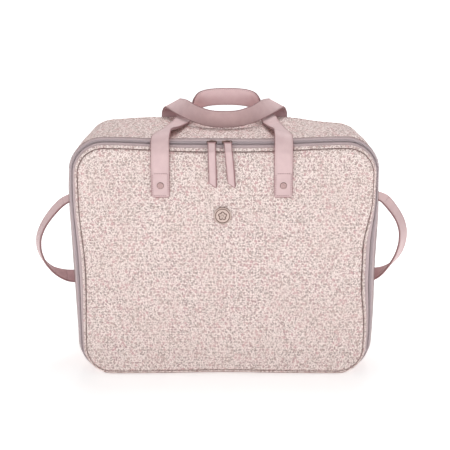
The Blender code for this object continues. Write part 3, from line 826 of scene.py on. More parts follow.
def make_zip():
    """Both tapes and coils, the tapes' stitches, the patches at the ends and the hinge cloth."""
    ts = steps(ZIP_START, ZIP_END, 4.0 * MM)
    for name, span, body, node in (
        ("lid_tape", LID_TAPE, "lid", "lid_zip_tape"),
        ("body_tape", BODY_TAPE, "case", "body_zip_tape"),
    ):
        tape = slope_band(name, span, -0.7 * MM, -0.1 * MM, ts, TAPE, 6)
        attach(tape, "zip_tape", body, node)
    coil("lid_coil", LID_COIL, 1, "lid", "lid_zip_coil")
    coil("body_coil", BODY_COIL, -1, "case", "body_zip_coil")

    for share, body, name in (
        (LID_TAPE[0] + 0.075, "lid", "lid_tape_stitches"),
        (0.93, "case", "body_tape_stitches"),
    ):
        line = [slope_point(t, share, 0.0) for t in ts]
        normals = [(slope_point(t, share, MM) - slope_point(t, share, 0.0)).normalized() for t in ts]
        row = joined(name, stitch_row(line, normals, 3.0 * MM, 0.25 * MM), THREAD)
        attach(row, "zip_tape", body)

    for label, start, end in (
        ("left", ZIP_START - 1 * MM, ZIP_START + 9 * MM),
        ("right", ZIP_END - 9 * MM, ZIP_END + 1 * MM),
    ):
        rows = []
        for t in steps(start, end, 0.7 * MM):
            edge = min(abs(t - start), abs(t - end))
            puff = 0.9 * MM * smooth(-0.4 * MM, 1.6 * MM, edge)

            def top(share):
                dome = puff * math.sin(math.pi * (0.1 + 0.8 * share))
                return slope_point(t, mix(*ZIP_STOP, share), 1.0 * MM + dome)

            def underside(share):
                return slope_point(t, mix(*ZIP_STOP, share), 0.9 * MM)

            rows.append(there_and_back(8, top, underside))
        patch = loft("zip_stop_" + label, rows, PINK)
        attach(patch, "pink_leatherette", "case", "zip_end_" + label)

    wrap = steps(ZIP_END + 0.5 * MM, PERIMETER + ZIP_START - 0.5 * MM, 4.0 * MM)
    hinge = slope_band("hinge_cloth", (0.20, 1.0), -1.6 * MM, -0.4 * MM, wrap, PRINTED_SIDE, 10)
    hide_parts("hinge_strip")
    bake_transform(hinge)


def shell_band(name, y_0, y_1, low, high, finish, columns):
    """A closed band round the shell, low and high metres outside its surface."""
    count = 380
    rows = []
    for i in range(count):
        t = PERIMETER * i / count

        def outer(share):
            y = mix(y_0, y_1, share)
            tuck = HEM * (1 - smooth(0.0, 0.010, min(y - y_0, y_1 - y)))
            point = shell_point(t, y, tuck - high)
            return Vector((point.x, point.y, max(point.z, FLOOR_GAP)))

        def inner(share):
            return shell_point(t, mix(y_0, y_1, share), HEM - low)

        rows.append(there_and_back(columns, outer, inner))
    return loft(name, rows, finish, closed=True)


def make_case_shell():
    """The gusset with its front seam, and the padded back with its piping."""
    gusset = shell_band("gusset_shell", GUSSET_FRONT, GUSSET_BACK, -SKIN, 0.0, PRINTED_SIDE, 36)
    attach(gusset, "printed_leatherette", "case", "gusset", "base_panel")

    line, normals = [], []
    for t in steps(ZIP_START, ZIP_END, 2.0 * MM):
        line.append(slope_point(t, 0.985, 0.5 * MM))
        normals.append((slope_point(t, 0.985, MM) - slope_point(t, 0.985)).normalized())
    rim = joined("gusset_rim_thread", stitch_row(line, normals, SEAM_PITCH, 0.36 * MM, 0.9), SEAM_THREAD_AND_FOOT_SHADE)
    attach(rim, "zip_tape", "case")

    def back_edge(t):
        point = shell_point(t, GUSSET_BACK + 2 * MM, 4.6 * MM)
        return Vector((point.x, BACK_SEAM_Y, point.z))

    cover = padded_panel(
        "back_cover", back_edge, BACK_SEAM_Y, 3.0 * MM, 2.0 * MM, 1, 2.0 * MM, PRINTED)
    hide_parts("back_panel")
    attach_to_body(cover, "case")

    def centre(t):
        point = shell_point(t, BACK_SEAM_Y, 2.4 * MM)
        nx, nz = rounded(t, HALF_WIDTH, 0, HEIGHT, CORNER)[2:]
        return Vector((point.x, point.y, max(point.z, 2.6 * MM))), Vector((nx, 0, nz))

    piping = welt("back_piping", centre, 2.3 * MM, 1.5 * MM)
    attach(piping, "printed_leatherette", "case", "back_welt")


def make_linings():
    """The cloths inside the gusset, the back and the lid."""
    count = 240
    rows = []
    y_0, y_1 = (corner.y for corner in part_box("gusset_lining"))
    for i in range(count):
        t = PERIMETER * i / count

        def inside(share):
            y = mix(y_0, y_1, share)
            wave = 0.0007 * ripple((t, y, 0), 0.03, 8.0) * math.sin(math.pi * share)
            return shell_point(t, y, 7.4 * MM + wave)

        def backing(share):
            return shell_point(t, mix(y_0, y_1, share), 6.4 * MM)

        rows.append(there_and_back(24, inside, backing))
    lining = loft("gusset_inner_cloth", rows, LINING, closed=True)
    attach(lining, "lining_cloth", "case", "gusset_lining")

    low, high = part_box("back_lining")
    back = padded_panel(
        "back_inner_cloth", lambda t: shell_point(t, high.y, 6.6 * MM), high.y - 0.2 * MM,
        1.2 * MM, 0.5 * MM, -1, 0.3 * MM, LINING, 240, 24)
    attach(back, "lining_cloth", "case", "back_lining")

    low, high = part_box("lid_lining")
    inner = padded_panel(
        "lid_inner_cloth", lambda t: seam_point(t, 1.5 * MM), low.y + 0.3 * MM,
        1.2 * MM, 0.6 * MM, 1, 0.3 * MM, LINING, 240, 24, lean=foot)
    attach(inner, "lining_cloth", "lid", "lid_lining")


def board_span(node):
    """Where a side board starts and ends along the shell's outline."""
    low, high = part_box(node)
    half = PERIMETER / 2
    if node == "top_board":
        return half + low.x, half + high.x
    if node == "base_board":
        return -high.x, -low.x
    start, end = (FLAT_X + ARC + z - CORNER for z in (low.z, high.z))
    return (start, end) if node == "left_board" else (PERIMETER - end, PERIMETER - start)


def make_boards():
    """The stiffening boards between the outer cloth and the lining."""
    for node in ("top_board", "base_board", "left_board", "right_board"):
        y_0, y_1 = (corner.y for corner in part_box(node))
        rows = []
        for t in steps(*board_span(node), 6 * MM):
            rows.append(there_and_back(
                16,
                lambda share: shell_point(t, mix(y_0, y_1, share), 2.8 * MM),
                lambda share: shell_point(t, mix(y_0, y_1, share), 5.2 * MM)))
        board = sharpen(loft(node + "_foam", rows, FOAM))
        attach(board, "stiffening_board", "case", node)
    low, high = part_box("back_board")
    back = padded_panel(
        "back_board_foam", lambda t: shell_point(t, high.y, 8.0 * MM), high.y - 0.3 * MM,
        0.0, 0.3 * MM, 1, high.y - low.y - 0.4 * MM, FOAM, 200, 12, 0.0)
    attach(back, "stiffening_board", "case", "back_board")
    low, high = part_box("front_board")
    front = padded_panel(
        "front_board_foam", lambda t: seam_point(t, 2.5 * MM), low.y + 0.4 * MM,
        0.0, 0.3 * MM, -1, high.y - low.y - 0.5 * MM, FOAM, 200, 12, 0.0, foot)
    attach(front, "stiffening_board", "lid", "front_board")


# ---- straps ----
def smooth_path(points, per_step):
    """A Catmull-Rom curve through the points."""
    points = [Vector(p) for p in points]
    ends = [points[0] * 2 - points[1]] + points + [points[-1] * 2 - points[-2]]
    path = []
    for i in range(1, len(ends) - 2):
        a, b, c, d = ends[i - 1], ends[i], ends[i + 1], ends[i + 2]
        for k in range(per_step):
            t = k / per_step
            bend = (2 * a - 5 * b + 4 * c - d) * t * t + (3 * b - a - 3 * c + d) * t * t * t
            path.append(0.5 * (2 * b + (c - a) * t + bend))
    return path + [points[-1]]


def ribbon_frames(points, widths, per_step=8):
    """(point, across, face) along a flat strap. across follows its ruling, and a slanted one makes a fold.

    across is longer than 1 where it is slanted, so that the strap keeps its width.
    """
    path = smooth_path(points, per_step)
    rulings = smooth_path(widths, per_step)
    frames = []
    for i, point in enumerate(path):
        along = (path[min(i + 1, len(path) - 1)] - path[max(i - 1, 0)]).normalized()
        ruling = rulings[i].normalized()
        square = ruling - along * ruling.dot(along)
        frames.append((point, ruling / max(0.6, square.length), along.cross(square).normalized()))
    return frames


def mirrored(points):
    """Adds the right half of a handle to its left half. The last point is the middle."""
    return list(points) + [(-x, y, z) for x, y, z in reversed(points[:-1])]


def strap_layer(name, frames, width, low, high, finish, end_radius=0.0):
    """One layer of a strap, with rounded edges and a slight crown. Its ends can have rounded corners."""
    lengths = running([point for point, *_ in frames], False)
    outer = high if abs(high) > abs(low) else low
    inner = low if outer == high else high
    half = width / 2
    edge = abs(outer - inner) * 0.9
    turn = [math.pi / 2 * k / 3 for k in range(4)]
    crest_shares = (0.66, 0.33, 0.0, -0.33, -0.66)
    rows = []
    for (point, side, face), length in zip(frames, lengths):
        near_end = min(length, lengths[-1] - length)
        trim = 0.0
        if end_radius and near_end < end_radius:
            trim = end_radius - math.sqrt(end_radius ** 2 - (end_radius - near_end) ** 2)
        reach = half - trim
        flat = reach - edge
        section = [(-reach + 0.2 * edge, inner), (reach - 0.2 * edge, inner)]
        rim = [(flat + edge * math.cos(a), mix(inner, outer, 0.35 + 0.60 * math.sin(a))) for a in turn]
        crest = [(k * flat, mix(inner, outer, 1.07 - 0.12 * k * k)) for k in crest_shares]
        section += rim + crest + [(-w, h) for w, h in reversed(rim)]
        rows.append([point + side * w + face * h for w, h in section])
    grow = half / max(w for w, _ in section)
    widths = [w * grow for w, _ in section] + [section[0][0] * grow]
    centred = [length - lengths[-1] / 2 for length in lengths]
    return loft(name, rows, finish, lengths=centred, widths=widths)


def edge_stitches(frames, width, height, skip=lambda point: False):
    """Stitches along both edges of a strap at a height over its middle plane."""
    shapes = []
    for side_sign in (-1, 1):
        line, normals = [], []
        for point, side, face in frames:
            if skip(point):
                continue
            line.append(point + side * side_sign * (width / 2 - STITCH_INSET) + face * height)
            normals.append(face * math.copysign(1, height))
        shapes += stitch_row(line, normals, radius=0.34 * MM)
    return shapes


FRONT_FACE = LID_SEAM_Y - LID_CROWN - LID_ROLL      # of the padded lid, in its middle
FRONT_Y = FRONT_FACE - 0.4 * MM
REAR_Y = BACK + 2.1 * MM


def leaning(points):
    """Shifts the front handle sideways, from its sewn ends to its arch."""
    path = []
    for x, y, z in points:
        share = min(1.0, max(0.0, (y - FRONT) / (ARCH_Y - FRONT)))
        path.append((x + mix(FRONT_SHIFT, ARCH_SHIFT, share), y, z))
    return path


def front_handle_path():
    y = FRONT_Y
    points = [(-FRONT_LEG_X, y, LEG_LOW), (-FRONT_LEG_X, y, RIVET_Z), (-FRONT_LEG_X, y, LEG_FOLD)]
    points += [(-0.0949, y - 0.0010, 0.358), (-0.0947, y - 0.0006, 0.374), (-0.0948, -0.0972, 0.3903)]
    points += [(-0.0936, -0.0840, 0.3990), (-0.0906, -0.0620, 0.3990), (-0.0857, -0.0280, 0.3955)]
    points += [(-0.0800, 0.0060, 0.3942), (-0.0745, 0.0340, 0.3944), (-0.0680, 0.0560, 0.4035)]
    points += [(-0.0560, 0.0665, 0.4180), (-0.0350, ARCH_Y, 0.4280), (0.0, ARCH_Y, 0.4308)]
    widths = [(1, 0, 0)] * 4 + [(1, 0, 0.05), (0.98, 0, 0.15), (0.96, 0, 0.26), (0.96, 0, 0.25)]
    widths += [(0.98, 0, 0.16), (1, -0.05, 0.06), (1, -0.25, 0), (0.75, -0.65, 0.15), (0.1, -0.6, 0.75)]
    widths += [(-0.2, -0.1, 1), (0, 0, 1)]
    return leaning(mirrored(points)), mirrored(widths)


def rear_handle_path():
    y = REAR_Y
    points = [(-LEG_X, y, LEG_LOW), (-LEG_X, y, RIVET_Z), (-LEG_X, y, LEG_FOLD)]
    points += [(-0.0958, y + 0.0010, 0.362), (-0.0950, y + 0.0005, 0.384), (-0.0930, 0.1045, 0.4030)]
    points += [(-0.0895, 0.0950, 0.4143), (-0.0840, 0.0810, 0.4162), (-0.0760, 0.0610, 0.4166)]
    points += [(-0.0635, 0.0390, 0.4147), (-0.0460, 0.0190, 0.4100), (-0.0230, 0.0040, 0.4058)]
    points += [(0.0, 0.0, 0.4051)]
    widths = [(1, 0, 0)] * 4 + [(0.97, 0, 0.15), (0.90, 0, 0.38), (0.87, 0, 0.46), (0.83, 0, 0.54)]
    widths += [(0.70, 0, 0.72), (0.45, -0.05, 0.90), (0.20, -0.15, 1), (0.05, -0.20, 1), (0, -0.20, 1)]
    return mirrored(points), mirrored(widths)


def box_stitch(x, y, outward, low, high, half):
    """The sewn box at a strap's end, as stitches on the plane y."""
    corners = [Vector((x + a * half, y, z)) for a, z in ((-1, low), (1, low), (1, high), (-1, high))]
    normal = Vector((0, outward, 0))
    shapes = []
    for a, b in zip(corners, corners[1:] + corners[:1]):
        line = [a.lerp(b, k / 20) for k in range(21)]
        shapes += stitch_row(line, [normal] * 21, radius=0.42 * MM)
    return shapes


def make_top_handle(prefix, path, widths, outward, fixed, moving):
    """A strap of two layers, sewn to the shell at both ends and free above its stitch line."""
    frames = ribbon_frames(path, widths)
    spans = {1: (0.1 * MM, STRAP_LAYER), -1: (-STRAP_LAYER, -0.1 * MM)}
    sign = -1 if outward < 0 else 1
    half_length = running([point for point, *_ in frames], False)[-1] / 2
    leather = make_leather(prefix + "_leather", *STRAP_TONES, half_width=STRAP / 2, half_length=half_length)
    # Painted light on the linings: the front handle's takes the lighter copy, and the rear handle's takes
    # the darker shaded copy as painted shade
    lining_painted_light_tones = PAINTED_LIGHT_LINING_TONES if outward < 0 else SHADED_TONES
    backing = make_leather(prefix + "_leather_lining", *lining_painted_light_tones, half_width=STRAP / 2)
    outer = strap_layer(prefix + "_strap", frames, STRAP, *spans[sign], leather, 3 * MM)
    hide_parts(prefix + "_outer", prefix + "_end_left", prefix + "_end_right")
    inner = strap_layer(prefix + "_strap_lining", frames, STRAP - 0.4 * MM, *spans[-sign], backing, 3 * MM)
    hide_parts(prefix + "_inner")
    above = sign * (STRAP_LAYER + 0.02 * MM)
    shapes = edge_stitches(frames, STRAP, above)
    shapes += edge_stitches(frames, STRAP, -above, skip=lambda point: point.z < LEG_FOLD + 3 * MM)
    stitches = joined(prefix + "_stitches", shapes, THREAD)
    for piece in (outer, inner, stitches):
        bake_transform(piece)

    shapes = []
    y = path[0][1] + sign * (STRAP_LAYER + 0.12 * MM)
    for x in (path[0][0], path[-1][0]):
        shapes += box_stitch(x, y, sign, LEG_LOW + 3 * MM, LEG_FOLD - MM, STRAP / 2 - STITCH_INSET)
    row = joined(prefix + "_box_stitches", shapes, SEWN_THREAD)
    attach(row, "pink_leatherette", fixed)


# Stations of a side loop: shares of its reach and of its half height, and how far its front edge drops
SIDE_STATIONS = (
    (0.0, 1.38, 0.0), (0.0, 1.18, 0.0), (0.0, 0.98, 0.05), (0.05, 0.90, 0.15), (0.20, 0.84, 0.22),
    (0.42, 0.77, 0.20), (0.66, 0.60, 0.12), (0.86, 0.37, 0.05), (0.97, 0.15, 0.0), (1.0, -0.04, 0.0),
    (0.98, -0.25, 0.0), (0.88, -0.50, 0.10), (0.68, -0.75, 0.30), (0.42, -0.93, 0.60), (0.18, -1.02, 0.70),
    (0.04, -1.07, 0.45), (0.0, -1.14, 0.1), (0.0, -1.24, 0.0), (0.0, -1.38, 0.0),
)
# How far each loop reaches out, how far it is swung forwards, and how its middle is raised
SIDE_SHAPES = {"left": (0.0745, math.radians(25), -0.08), "right": (0.067, math.radians(38), 0.15)}


def side_loop_frames(label, side):
    """The loop of a side handle, swung forwards on a vertical axis, with its ends flat on the gusset."""
    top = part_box(label + "_side_handle_end_upper")[0].z
    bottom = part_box(label + "_side_handle_end_lower")[1].z
    middle, half = (top + bottom) / 2, (top - bottom) / 2
    reach_out, swing_full, raised = SIDE_SHAPES[label]
    points, widths = [], []
    for reach, rise, tilt in SIDE_STATIONS:
        swing = swing_full * min(1.0, 2 * reach) ** 1.5
        out = HALF_WIDTH + 2.0 * MM + reach_out * reach * math.cos(swing)
        forward = reach_out * reach * math.sin(swing)
        points.append((side * out, -forward, middle + half * (rise + raised * reach)))
        widths.append((side * math.sin(swing), math.cos(swing), tilt))
    return ribbon_frames(points, widths), middle


def make_side_handle(label, side):
    """A side strap in three parts: its free loop rides on the joint, and its sewn ends stay in place."""
    frames, middle = side_loop_frames(label, side)
    handle = label + "_handle"
    sewn = [abs(point.x) < HALF_WIDTH + SIDE_SEWN for point, *_ in frames]
    first, last = sewn.index(False), len(sewn) - sewn[::-1].index(False)
    parts = {"upper": frames[:first + 1], "loop": frames[first:last], "lower": frames[last - 1:]}
    start, end = ((side * (HALF_WIDTH + out), 0, middle) for out in (3.0 * MM, 27.0 * MM))
    for part, items in parts.items():
        for layer, (low, high), finish in (
            ("", (0.1 * MM, STRAP_LAYER), SIDE_OUTER),
            ("_lining", (-STRAP_LAYER, -0.1 * MM), SIDE_INNER_PAINTED_SHADE),
        ):
            span = (low, high) if side > 0 else (-high, -low)
            piece = strap_layer(f"{label}_side_strap_{part}{layer}", items, SIDE_STRAP, *span, finish)
            if part == "loop":
                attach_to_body(piece, handle)
            else:
                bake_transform(piece)
                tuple(start)
                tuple(end)
            if layer == "":
                node = "_side_handle" if part == "loop" else "_side_handle_end_" + part
                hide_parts(label + node)
    shapes = edge_stitches(parts["loop"], SIDE_STRAP, STRAP_LAYER + 0.05 * MM)
    shapes += edge_stitches(parts["loop"], SIDE_STRAP, -STRAP_LAYER - 0.05 * MM)
    row = joined(f"{label}_side_strap_stitches", shapes, THREAD)
    attach(row, "pink_leatherette", handle)


# ---- metal trim ----
def turned(name, profile, centre, axis, finish, sides=56, height=None):
    """A body of revolution with its profile (radius, distance along axis), whose ends close on the axis."""
    to_axis = Vector((0, 0, 1)).rotation_difference(Vector(axis)).to_matrix()
    rows = []
    for radius, along in profile:
        row = []
        for i in range(sides):
            a = 2 * math.pi * i / sides
            lift = height(radius, a) if height else 0.0
            point = Vector((radius * math.cos(a), radius * math.sin(a), along + lift))
            row.append(Vector(centre) + to_axis @ point)
        rows.append(row)
    return sharpen(loft(name, rows, finish), 35)


def rounded_profile(radius, high, edge):
    """A disc's profile from its underside at 0 to its top, with its top edge rounded."""
    profile = [(0.05 * MM, 0.0), (radius - 0.2 * MM, 0.0), (radius, 0.2 * MM), (radius, high - edge)]
    for a in (0.4, 0.8, 1.2, 1.57):
        profile.append((radius - edge + edge * math.cos(a), high - edge + edge * math.sin(a)))
    return profile


def ring_points(centre, reach, count):
    """A ring in an upright plane, reach(angle) from its centre."""
    turns = [2 * math.pi * k / count for k in range(count)]
    return [centre + Vector((reach(a) * math.sin(a), 0, reach(a) * math.cos(a))) for a in turns]


def make_rivet(node, y_sign, body):
    """A rivet's domed cap on the strap, the dark line round it, and its washer inside."""
    low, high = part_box(node)
    centre = (low + high) / 2
    face = FRONT_Y if y_sign < 0 else REAR_Y
    base = Vector((centre.x, face + y_sign * STRAP_LAYER * 0.9, centre.z))
    profile = rounded_profile(4.8 * MM, 1.5 * MM, 0.7 * MM)
    profile += [(3.4 * MM, 1.5 * MM), (3.1 * MM, 1.0 * MM), (2.5 * MM, 1.0 * MM)]
    profile += [(2.2 * MM, 1.35 * MM), (1.6 * MM, 1.55 * MM), (0.9 * MM, 1.6 * MM), (0.05 * MM, 1.6 * MM)]
    cap = turned(node + "_cap", profile, base, (0, y_sign, 0), RIVET_METAL)
    loop = ring_points(base + Vector((0, y_sign * 0.35 * MM, 0)), lambda a: 4.9 * MM, 64)
    rim = wire(node + "_rim", loop, Vector((0, y_sign, 0)), 0.5 * MM, DARK_METAL, 8)
    attach(rim, "satin_nickel", body)
    attach(cap, "satin_nickel", body, node)

    low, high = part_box(node + "_washer")
    y = high.y if y_sign < 0 else low.y
    base = Vector((centre.x, y + y_sign * 0.9 * MM, centre.z))
    ring = rounded_profile(4.6 * MM, 0.9 * MM, 0.4 * MM)
    ring += [(2.2 * MM, 0.9 * MM), (1.9 * MM, 1.3 * MM), (0.05 * MM, 1.4 * MM)]
    washer = turned(node + "_back", ring, base, (0, -y_sign, 0), NICKEL, 40)
    attach(washer, "satin_nickel", body, node + "_washer")


def wire(name, loop, normal, radius, finish, sides=12):
    """A closed loop of round wire that lies in a plane."""
    turns = [2 * math.pi * k / sides for k in range(sides)]
    rows = []
    for i, point in enumerate(loop):
        along = (loop[(i + 1) % len(loop)] - loop[i - 1]).normalized()
        side = along.cross(normal)
        rows.append([point + (side * math.cos(a) + normal * math.sin(a)) * radius for a in turns])
    return loft(name, rows, finish, closed=True)


def make_badge():
    """The round badge with a plain flower, and its washer inside the lid."""
    low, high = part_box("badge")
    centre = (low + high) / 2
    radius = (high.x - low.x) / 2
    base = Vector((centre.x, FRONT_FACE + 0.2 * MM, centre.z))
    profile = [(0.05 * MM, 0.0), (radius - 0.4 * MM, 0.0), (radius, 0.5 * MM), (radius, 1.7 * MM)]
    profile += [(radius - 0.2 * MM, 2.1 * MM), (radius - 0.7 * MM, 2.3 * MM), (radius - 1.5 * MM, 2.3 * MM)]
    profile += [(radius - 1.9 * MM, 2.1 * MM), (radius - 2.1 * MM, 1.7 * MM)]
    face = radius - 2.4 * MM
    profile += [(face * (1 - k / 26), 1.6 * MM) for k in range(26)] + [(0.05 * MM, 1.6 * MM)]

    def petal(a):
        return 6.6 * MM * (0.62 + 0.38 * abs(math.cos(PETALS / 2 * a)))

    def relief(r, a):
        """A plain five-petalled flower, raised on the face."""
        if r > face - 0.3 * MM:
            return 0.0
        bloom = 0.5 * MM * smooth(petal(a), petal(a) - 0.8 * MM, r)
        return bloom + 0.4 * MM * smooth(2.0 * MM, 1.2 * MM, r)

    disc = turned("badge_disc", profile, base, (0, -1, 0), NICKEL, 120, relief)
    for label, reach, thickness in (
        ("petals", petal, 0.62 * MM),
        ("heart", lambda a: 2.1 * MM, 0.45 * MM),
        ("border", lambda a: face - 0.4 * MM, 0.45 * MM),
    ):
        loop = ring_points(base - Vector((0, 1.75 * MM, 0)), reach, 120)
        line = wire("badge_" + label, loop, Vector((0, -1, 0)), thickness, DARK_METAL, 8)
        attach(line, "satin_nickel", "lid")
    attach(disc, "satin_nickel", "lid", "badge")

    ring = rounded_profile(8.0 * MM, 1.0 * MM, 0.4 * MM)
    ring += [(3.0 * MM, 1.0 * MM), (2.6 * MM, 1.5 * MM), (0.05 * MM, 1.6 * MM)]
    base = Vector((centre.x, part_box("badge_washer")[0].y - 0.1 * MM, centre.z))
    washer = turned("badge_back", ring, base, (0, 1, 0), NICKEL, 48)
    attach(washer, "satin_nickel", "lid", "badge_washer")


def prism(outline, low, high, bevel):
    """A flat plate with bevelled edges, from an outline in its own plane, as a bmesh."""
    bm = bmesh.new()
    verts = [bm.verts.new((x, y, low)) for x, y in outline]
    face = bm.faces.new(verts)
    made = bmesh.ops.extrude_face_region(bm, geom=[face])
    top = [v for v in made["geom"] if isinstance(v, bmesh.types.BMVert)]
    bmesh.ops.translate(bm, verts=top, vec=(0, 0, high - low))
    bmesh.ops.recalc_face_normals(bm, faces=bm.faces)
    bmesh.ops.bevel(bm, geom=list(bm.edges), offset=bevel, segments=3, profile=0.5, affect="EDGES")
    return bm


def bmesh_piece(name, parts, matrix, finish):
    """Joins bmeshes into one piece, placed by a matrix."""
    whole = bpy.data.meshes.new(name)
    bm = bmesh.new()
    for part in parts:
        scratch = bpy.data.meshes.new("scratch")
        part.to_mesh(scratch)
        part.free()
        bm.from_mesh(scratch)
        bpy.data.meshes.remove(scratch)
    bmesh.ops.transform(bm, matrix=matrix, verts=bm.verts)
    layer = bm.loops.layers.uv.new("fabric")
    for face in bm.faces:
        for loop in face.loops:
            loop[layer].uv = (loop.vert.co.x, loop.vert.co.z)
    bm.to_mesh(whole)
    bm.free()
    whole.materials.append(finish)
    whole.shade_smooth()
    whole.set_sharp_from_angle(angle=math.radians(45))
    obj = bpy.data.objects.new(name, whole)
    bpy.context.scene.collection.objects.link(obj)
    return obj


def zip_frame(x):
    """At a slider: local X along the zip, local Y up the slope, local Z out of it."""
    t = PERIMETER / 2 + x
    share = (LID_COIL[1] + BODY_COIL[0]) / 2
    point = slope_point(t, share, 0.6 * MM)
    along = Vector((1, 0, 0))
    up = (slope_point(t, 0.9) - slope_point(t, 0.2)).normalized()
    out = along.cross(up)
    turn = Matrix((along, up, out)).transposed().to_4x4()
    return Matrix.Translation(point) @ turn


def make_slider(label, x, nose):
    """A zip slider: two plates with flanges between them, wide towards nose, and a bridge for the pull."""
    half_ring = [(7.2, 0.0), (6.9, 2.6), (5.6, 4.6), (3.2, 5.4), (0.5, 5.2), (-2.5, 4.3)]
    half_ring += [(-5.5, 3.9), (-6.6, 3.2), (-7.0, 1.6)]
    ring = [(SLIDER_LONG * a * nose, SLIDER_WIDE * b) for a, b in half_ring]
    ring += [(a, -b) for a, b in reversed(ring[1:])]
    frame_at = zip_frame(x)
    plate = prism(ring, 1.6 * MM, 2.6 * MM, 0.35 * MM)
    under = prism(ring, -2.2 * MM, -1.2 * MM, 0.35 * MM)
    rails = []
    for s in (-1, 1):
        rail = [(-6.0, 3.3), (-2.5, 3.7), (0.5, 4.6), (3.0, 4.9)]
        rail += [(3.0, 5.5), (0.5, 5.3), (-2.5, 4.4), (-6.0, 4.0)]
        rail = [(SLIDER_LONG * a * nose, SLIDER_WIDE * b * s) for a, b in rail]
        rails.append(prism(rail, 0.9 * MM, 2.0 * MM, 0.15 * MM))
    body = bmesh_piece(label + "_slider_body", [plate, under] + rails, frame_at, BRONZE)
    attach(body, "zip_metal", label + "_slider", label + "_slider")

    arch = []
    for k in range(13):
        a = math.pi * k / 12
        rise = 2.6 * MM + 2.4 * MM * math.sin(a)
        arch.append(Vector((nose * SLIDER_OFFSET, 2.6 * MM * math.cos(a), rise)))
    verts, faces = bead([frame_at @ p for p in arch], [0.7 * MM] * 13, 12, Vector((1, 0, 0)))
    crown = joined(label + "_slider_bridge", [(verts, faces)], BRONZE)
    attach(crown, "zip_metal", label + "_slider", label + "_slider_crown")


def rounded_loop(half_x, half_y, radius, steps_each=6):
    """A rounded rectangle round the origin, in its own plane."""
    points = []
    for quarter, (sx, sy) in enumerate(((1, 1), (-1, 1), (-1, -1), (1, -1))):
        for i in range(steps_each + 1):
            a = math.pi / 2 * (quarter + i / steps_each)
            x = sx * (half_x - radius) + radius * math.cos(a)
            points.append(Vector((x, sy * (half_y - radius) + radius * math.sin(a), 0)))
    return points


def make_pull(label, x, lean):
    """A wire ring in the slider's bridge, and a doubled leather tab folded over its lower bar."""
    pivot = zip_frame(x) @ Vector((0, 0, 4.6 * MM))
    bar = pivot + Vector((lean * 0.10, -3.6 * MM, -2.4 * MM))
    half = (bar - pivot).length / 2
    down = (bar - pivot).normalized()
    across = Vector((1, 0, 0))
    across = (across - down * across.dot(down)).normalized()
    turn = Matrix((across, down, across.cross(down))).transposed().to_4x4()
    place = Matrix.Translation((pivot + bar) / 2) @ turn
    loop = [place @ p for p in rounded_loop(7.3 * MM, half, 1.8 * MM)]
    ring = wire(label + "_pull_wire", loop, across.cross(down), 0.75 * MM, BRONZE)
    attach(ring, "zip_metal", label + "_pull", label + "_pull_ring")

    section = [(-0.5, -0.6), (-0.5, 0.6), (-0.46, 1.0), (-0.25, 1.08), (0.0, 1.12), (0.25, 1.08)]
    section += [(0.46, 1.0), (0.5, 0.6), (0.5, -0.6), (0.46, -1.0), (0.0, -1.0), (-0.46, -1.0)]
    for layer, depth, extra in (("front", -1.5 * MM, 0.0), ("back", 0.9 * MM, -2.5 * MM)):
        rows = []
        shares = [i / 34 for i in range(35)]
        for share in shares:
            z = bar.z + 1.6 * MM - (TAB_LENGTH + extra) * share
            sway = lean * share + (0.8 * MM if layer == "back" else 0.0) * share
            near_bar = 1 - smooth(0.0, 0.10, share)
            y = mix(bar.y, FRONT_FACE - 1.5 * MM, smooth(0.0, 0.22, share)) + depth * (1 - 0.35 * near_bar)
            row = []
            for w, h in section:
                cut = TAB_SLANT * (w + 0.5) * smooth(0.55, 1.0, share)
                row.append(Vector((x + lean * 0.15 + sway + w * TAB_WIDTH, y - h * TAB_LAYER, z - cut)))
            rows.append(row)
        spread = [w * TAB_WIDTH for w, _ in section] + [section[0][0] * TAB_WIDTH]
        reach = [TAB_LENGTH * (share - 0.5) for share in shares]
        leather = TAB if layer == "front" else TAB_INNER
        tab = loft(f"{label}_pull_leather_{layer}", rows, leather, lengths=reach, widths=spread)
        sharpen(tab, 50)
        attach(tab, "pink_leatherette", label + "_pull")
        if layer == "front":
            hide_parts(label + "_pull_tab")
            front = rows
    shapes = []
    for index, edge in ((3, 1), (5, -1)):
        line = [row[index] + Vector((edge * -0.9 * MM, 0, 0)) for row in front[3:-1]]
        shapes += stitch_row(line, [Vector((0, -1, 0))] * len(line), SEAM_PITCH, 0.2 * MM)
    row = joined(label + "_pull_stitches", shapes, THREAD)
    attach(row, "pink_leatherette", label + "_pull")


# ---- studio ----
CAMERA_PLACE = (0.001, -1.504, 0.691)
CAMERA_PITCH = 17.21                    # degrees down
CAMERA_LENS = 74.9
WORLD_LIGHT = 0.42
WARM = (1.0, 0.99, 0.985)


def area_light(name, place, target, size, power, tint=(1.0, 1.0, 1.0)):
    data = bpy.data.lights.new(name, "AREA")
    data.shape = "RECTANGLE"
    data.size, data.size_y = size
    data.energy = power
    data.color = tint
    obj = bpy.data.objects.new(name, data)
    obj.location = place
    obj.rotation_euler = (Vector(target) - Vector(place)).to_track_quat("-Z", "Y").to_euler()
    bpy.context.scene.collection.objects.link(obj)


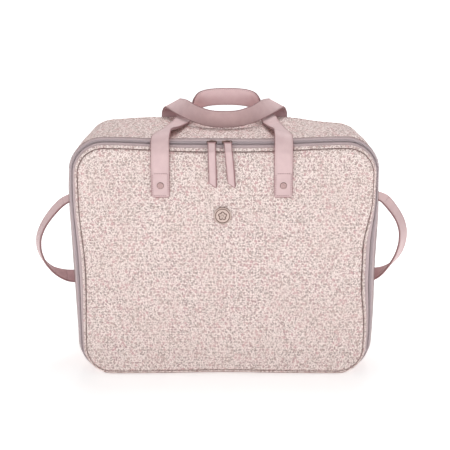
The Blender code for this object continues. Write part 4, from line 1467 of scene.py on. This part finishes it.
def make_studio():
    """Pale floor, soft lights and the camera."""
    half = 20.0
    corners = [Vector((x, y, 0)) for x, y in ((-half, -half), (half, -half), (half, half), (-half, half))]
    uvs = [(corner.x, corner.y) for corner in corners]
    floor = add_mesh("floor", corners, [(0, 1, 2, 3)], uvs, make_floor("studio_floor"))
    world = bpy.data.worlds.new("studio_world")
    world.use_nodes = True
    background = world.node_tree.nodes["Background"]
    background.inputs["Color"].default_value = (1.0, 1.0, 1.0, 1.0)
    background.inputs["Strength"].default_value = WORLD_LIGHT
    bpy.context.scene.world = world
    area_light("key", (-0.4, -2.6, 1.8), (0, 0, 0.2), (2.4, 1.6), 5.0, WARM)
    area_light("low", (0.0, -1.7, 0.16), (0, 0, 0.12), (2.2, 0.3), 4.2, WARM)
    area_light("fill_right", (1.9, -1.4, 1.2), (0, 0, 0.2), (1.4, 1.4), 4.4, (1.0, 0.99, 0.99))
    area_light("fill_left", (-1.9, -1.4, 1.2), (0, 0, 0.2), (1.4, 1.4), 4.4, (1.0, 0.99, 0.99))
    area_light("top", (0.1, 0.7, 2.2), (0, 0, 0.3), (1.2, 1.2), 25.0)

    camera = bpy.data.cameras.new("camera")
    camera.lens = CAMERA_LENS
    camera.sensor_width = 36.0
    viewer = bpy.data.objects.new("camera", camera)
    viewer.location = CAMERA_PLACE
    viewer.rotation_euler = (math.radians(90 - CAMERA_PITCH), 0, 0)
    bpy.context.scene.collection.objects.link(viewer)
    bpy.context.scene.camera = viewer
    bpy.context.scene.view_settings.view_transform = "Standard"


# ---- the whole case ----
make_studio()
make_lid_shell()
make_case_shell()
make_linings()
make_boards()
make_zip()
make_top_handle("front_handle", *front_handle_path(), -1, "lid", "front_handle")
make_top_handle("rear_handle", *rear_handle_path(), 1, "case", "rear_handle")
for side_label, side_sign in (("left", -1), ("right", 1)):
    make_side_handle(side_label, side_sign)
    make_rivet("front_rivet_" + side_label, -1, "lid")
    make_rivet("rear_rivet_" + side_label, 1, "case")
make_badge()
for pull_label, pull_x, pull_lean, mouth in (("left", -0.0198, 0.0016, -1), ("right", 0.0042, 0.0060, 1)):
    make_slider(pull_label, pull_x - mouth * SLIDER_OFFSET, mouth)
    make_pull(pull_label, pull_x, pull_lean)
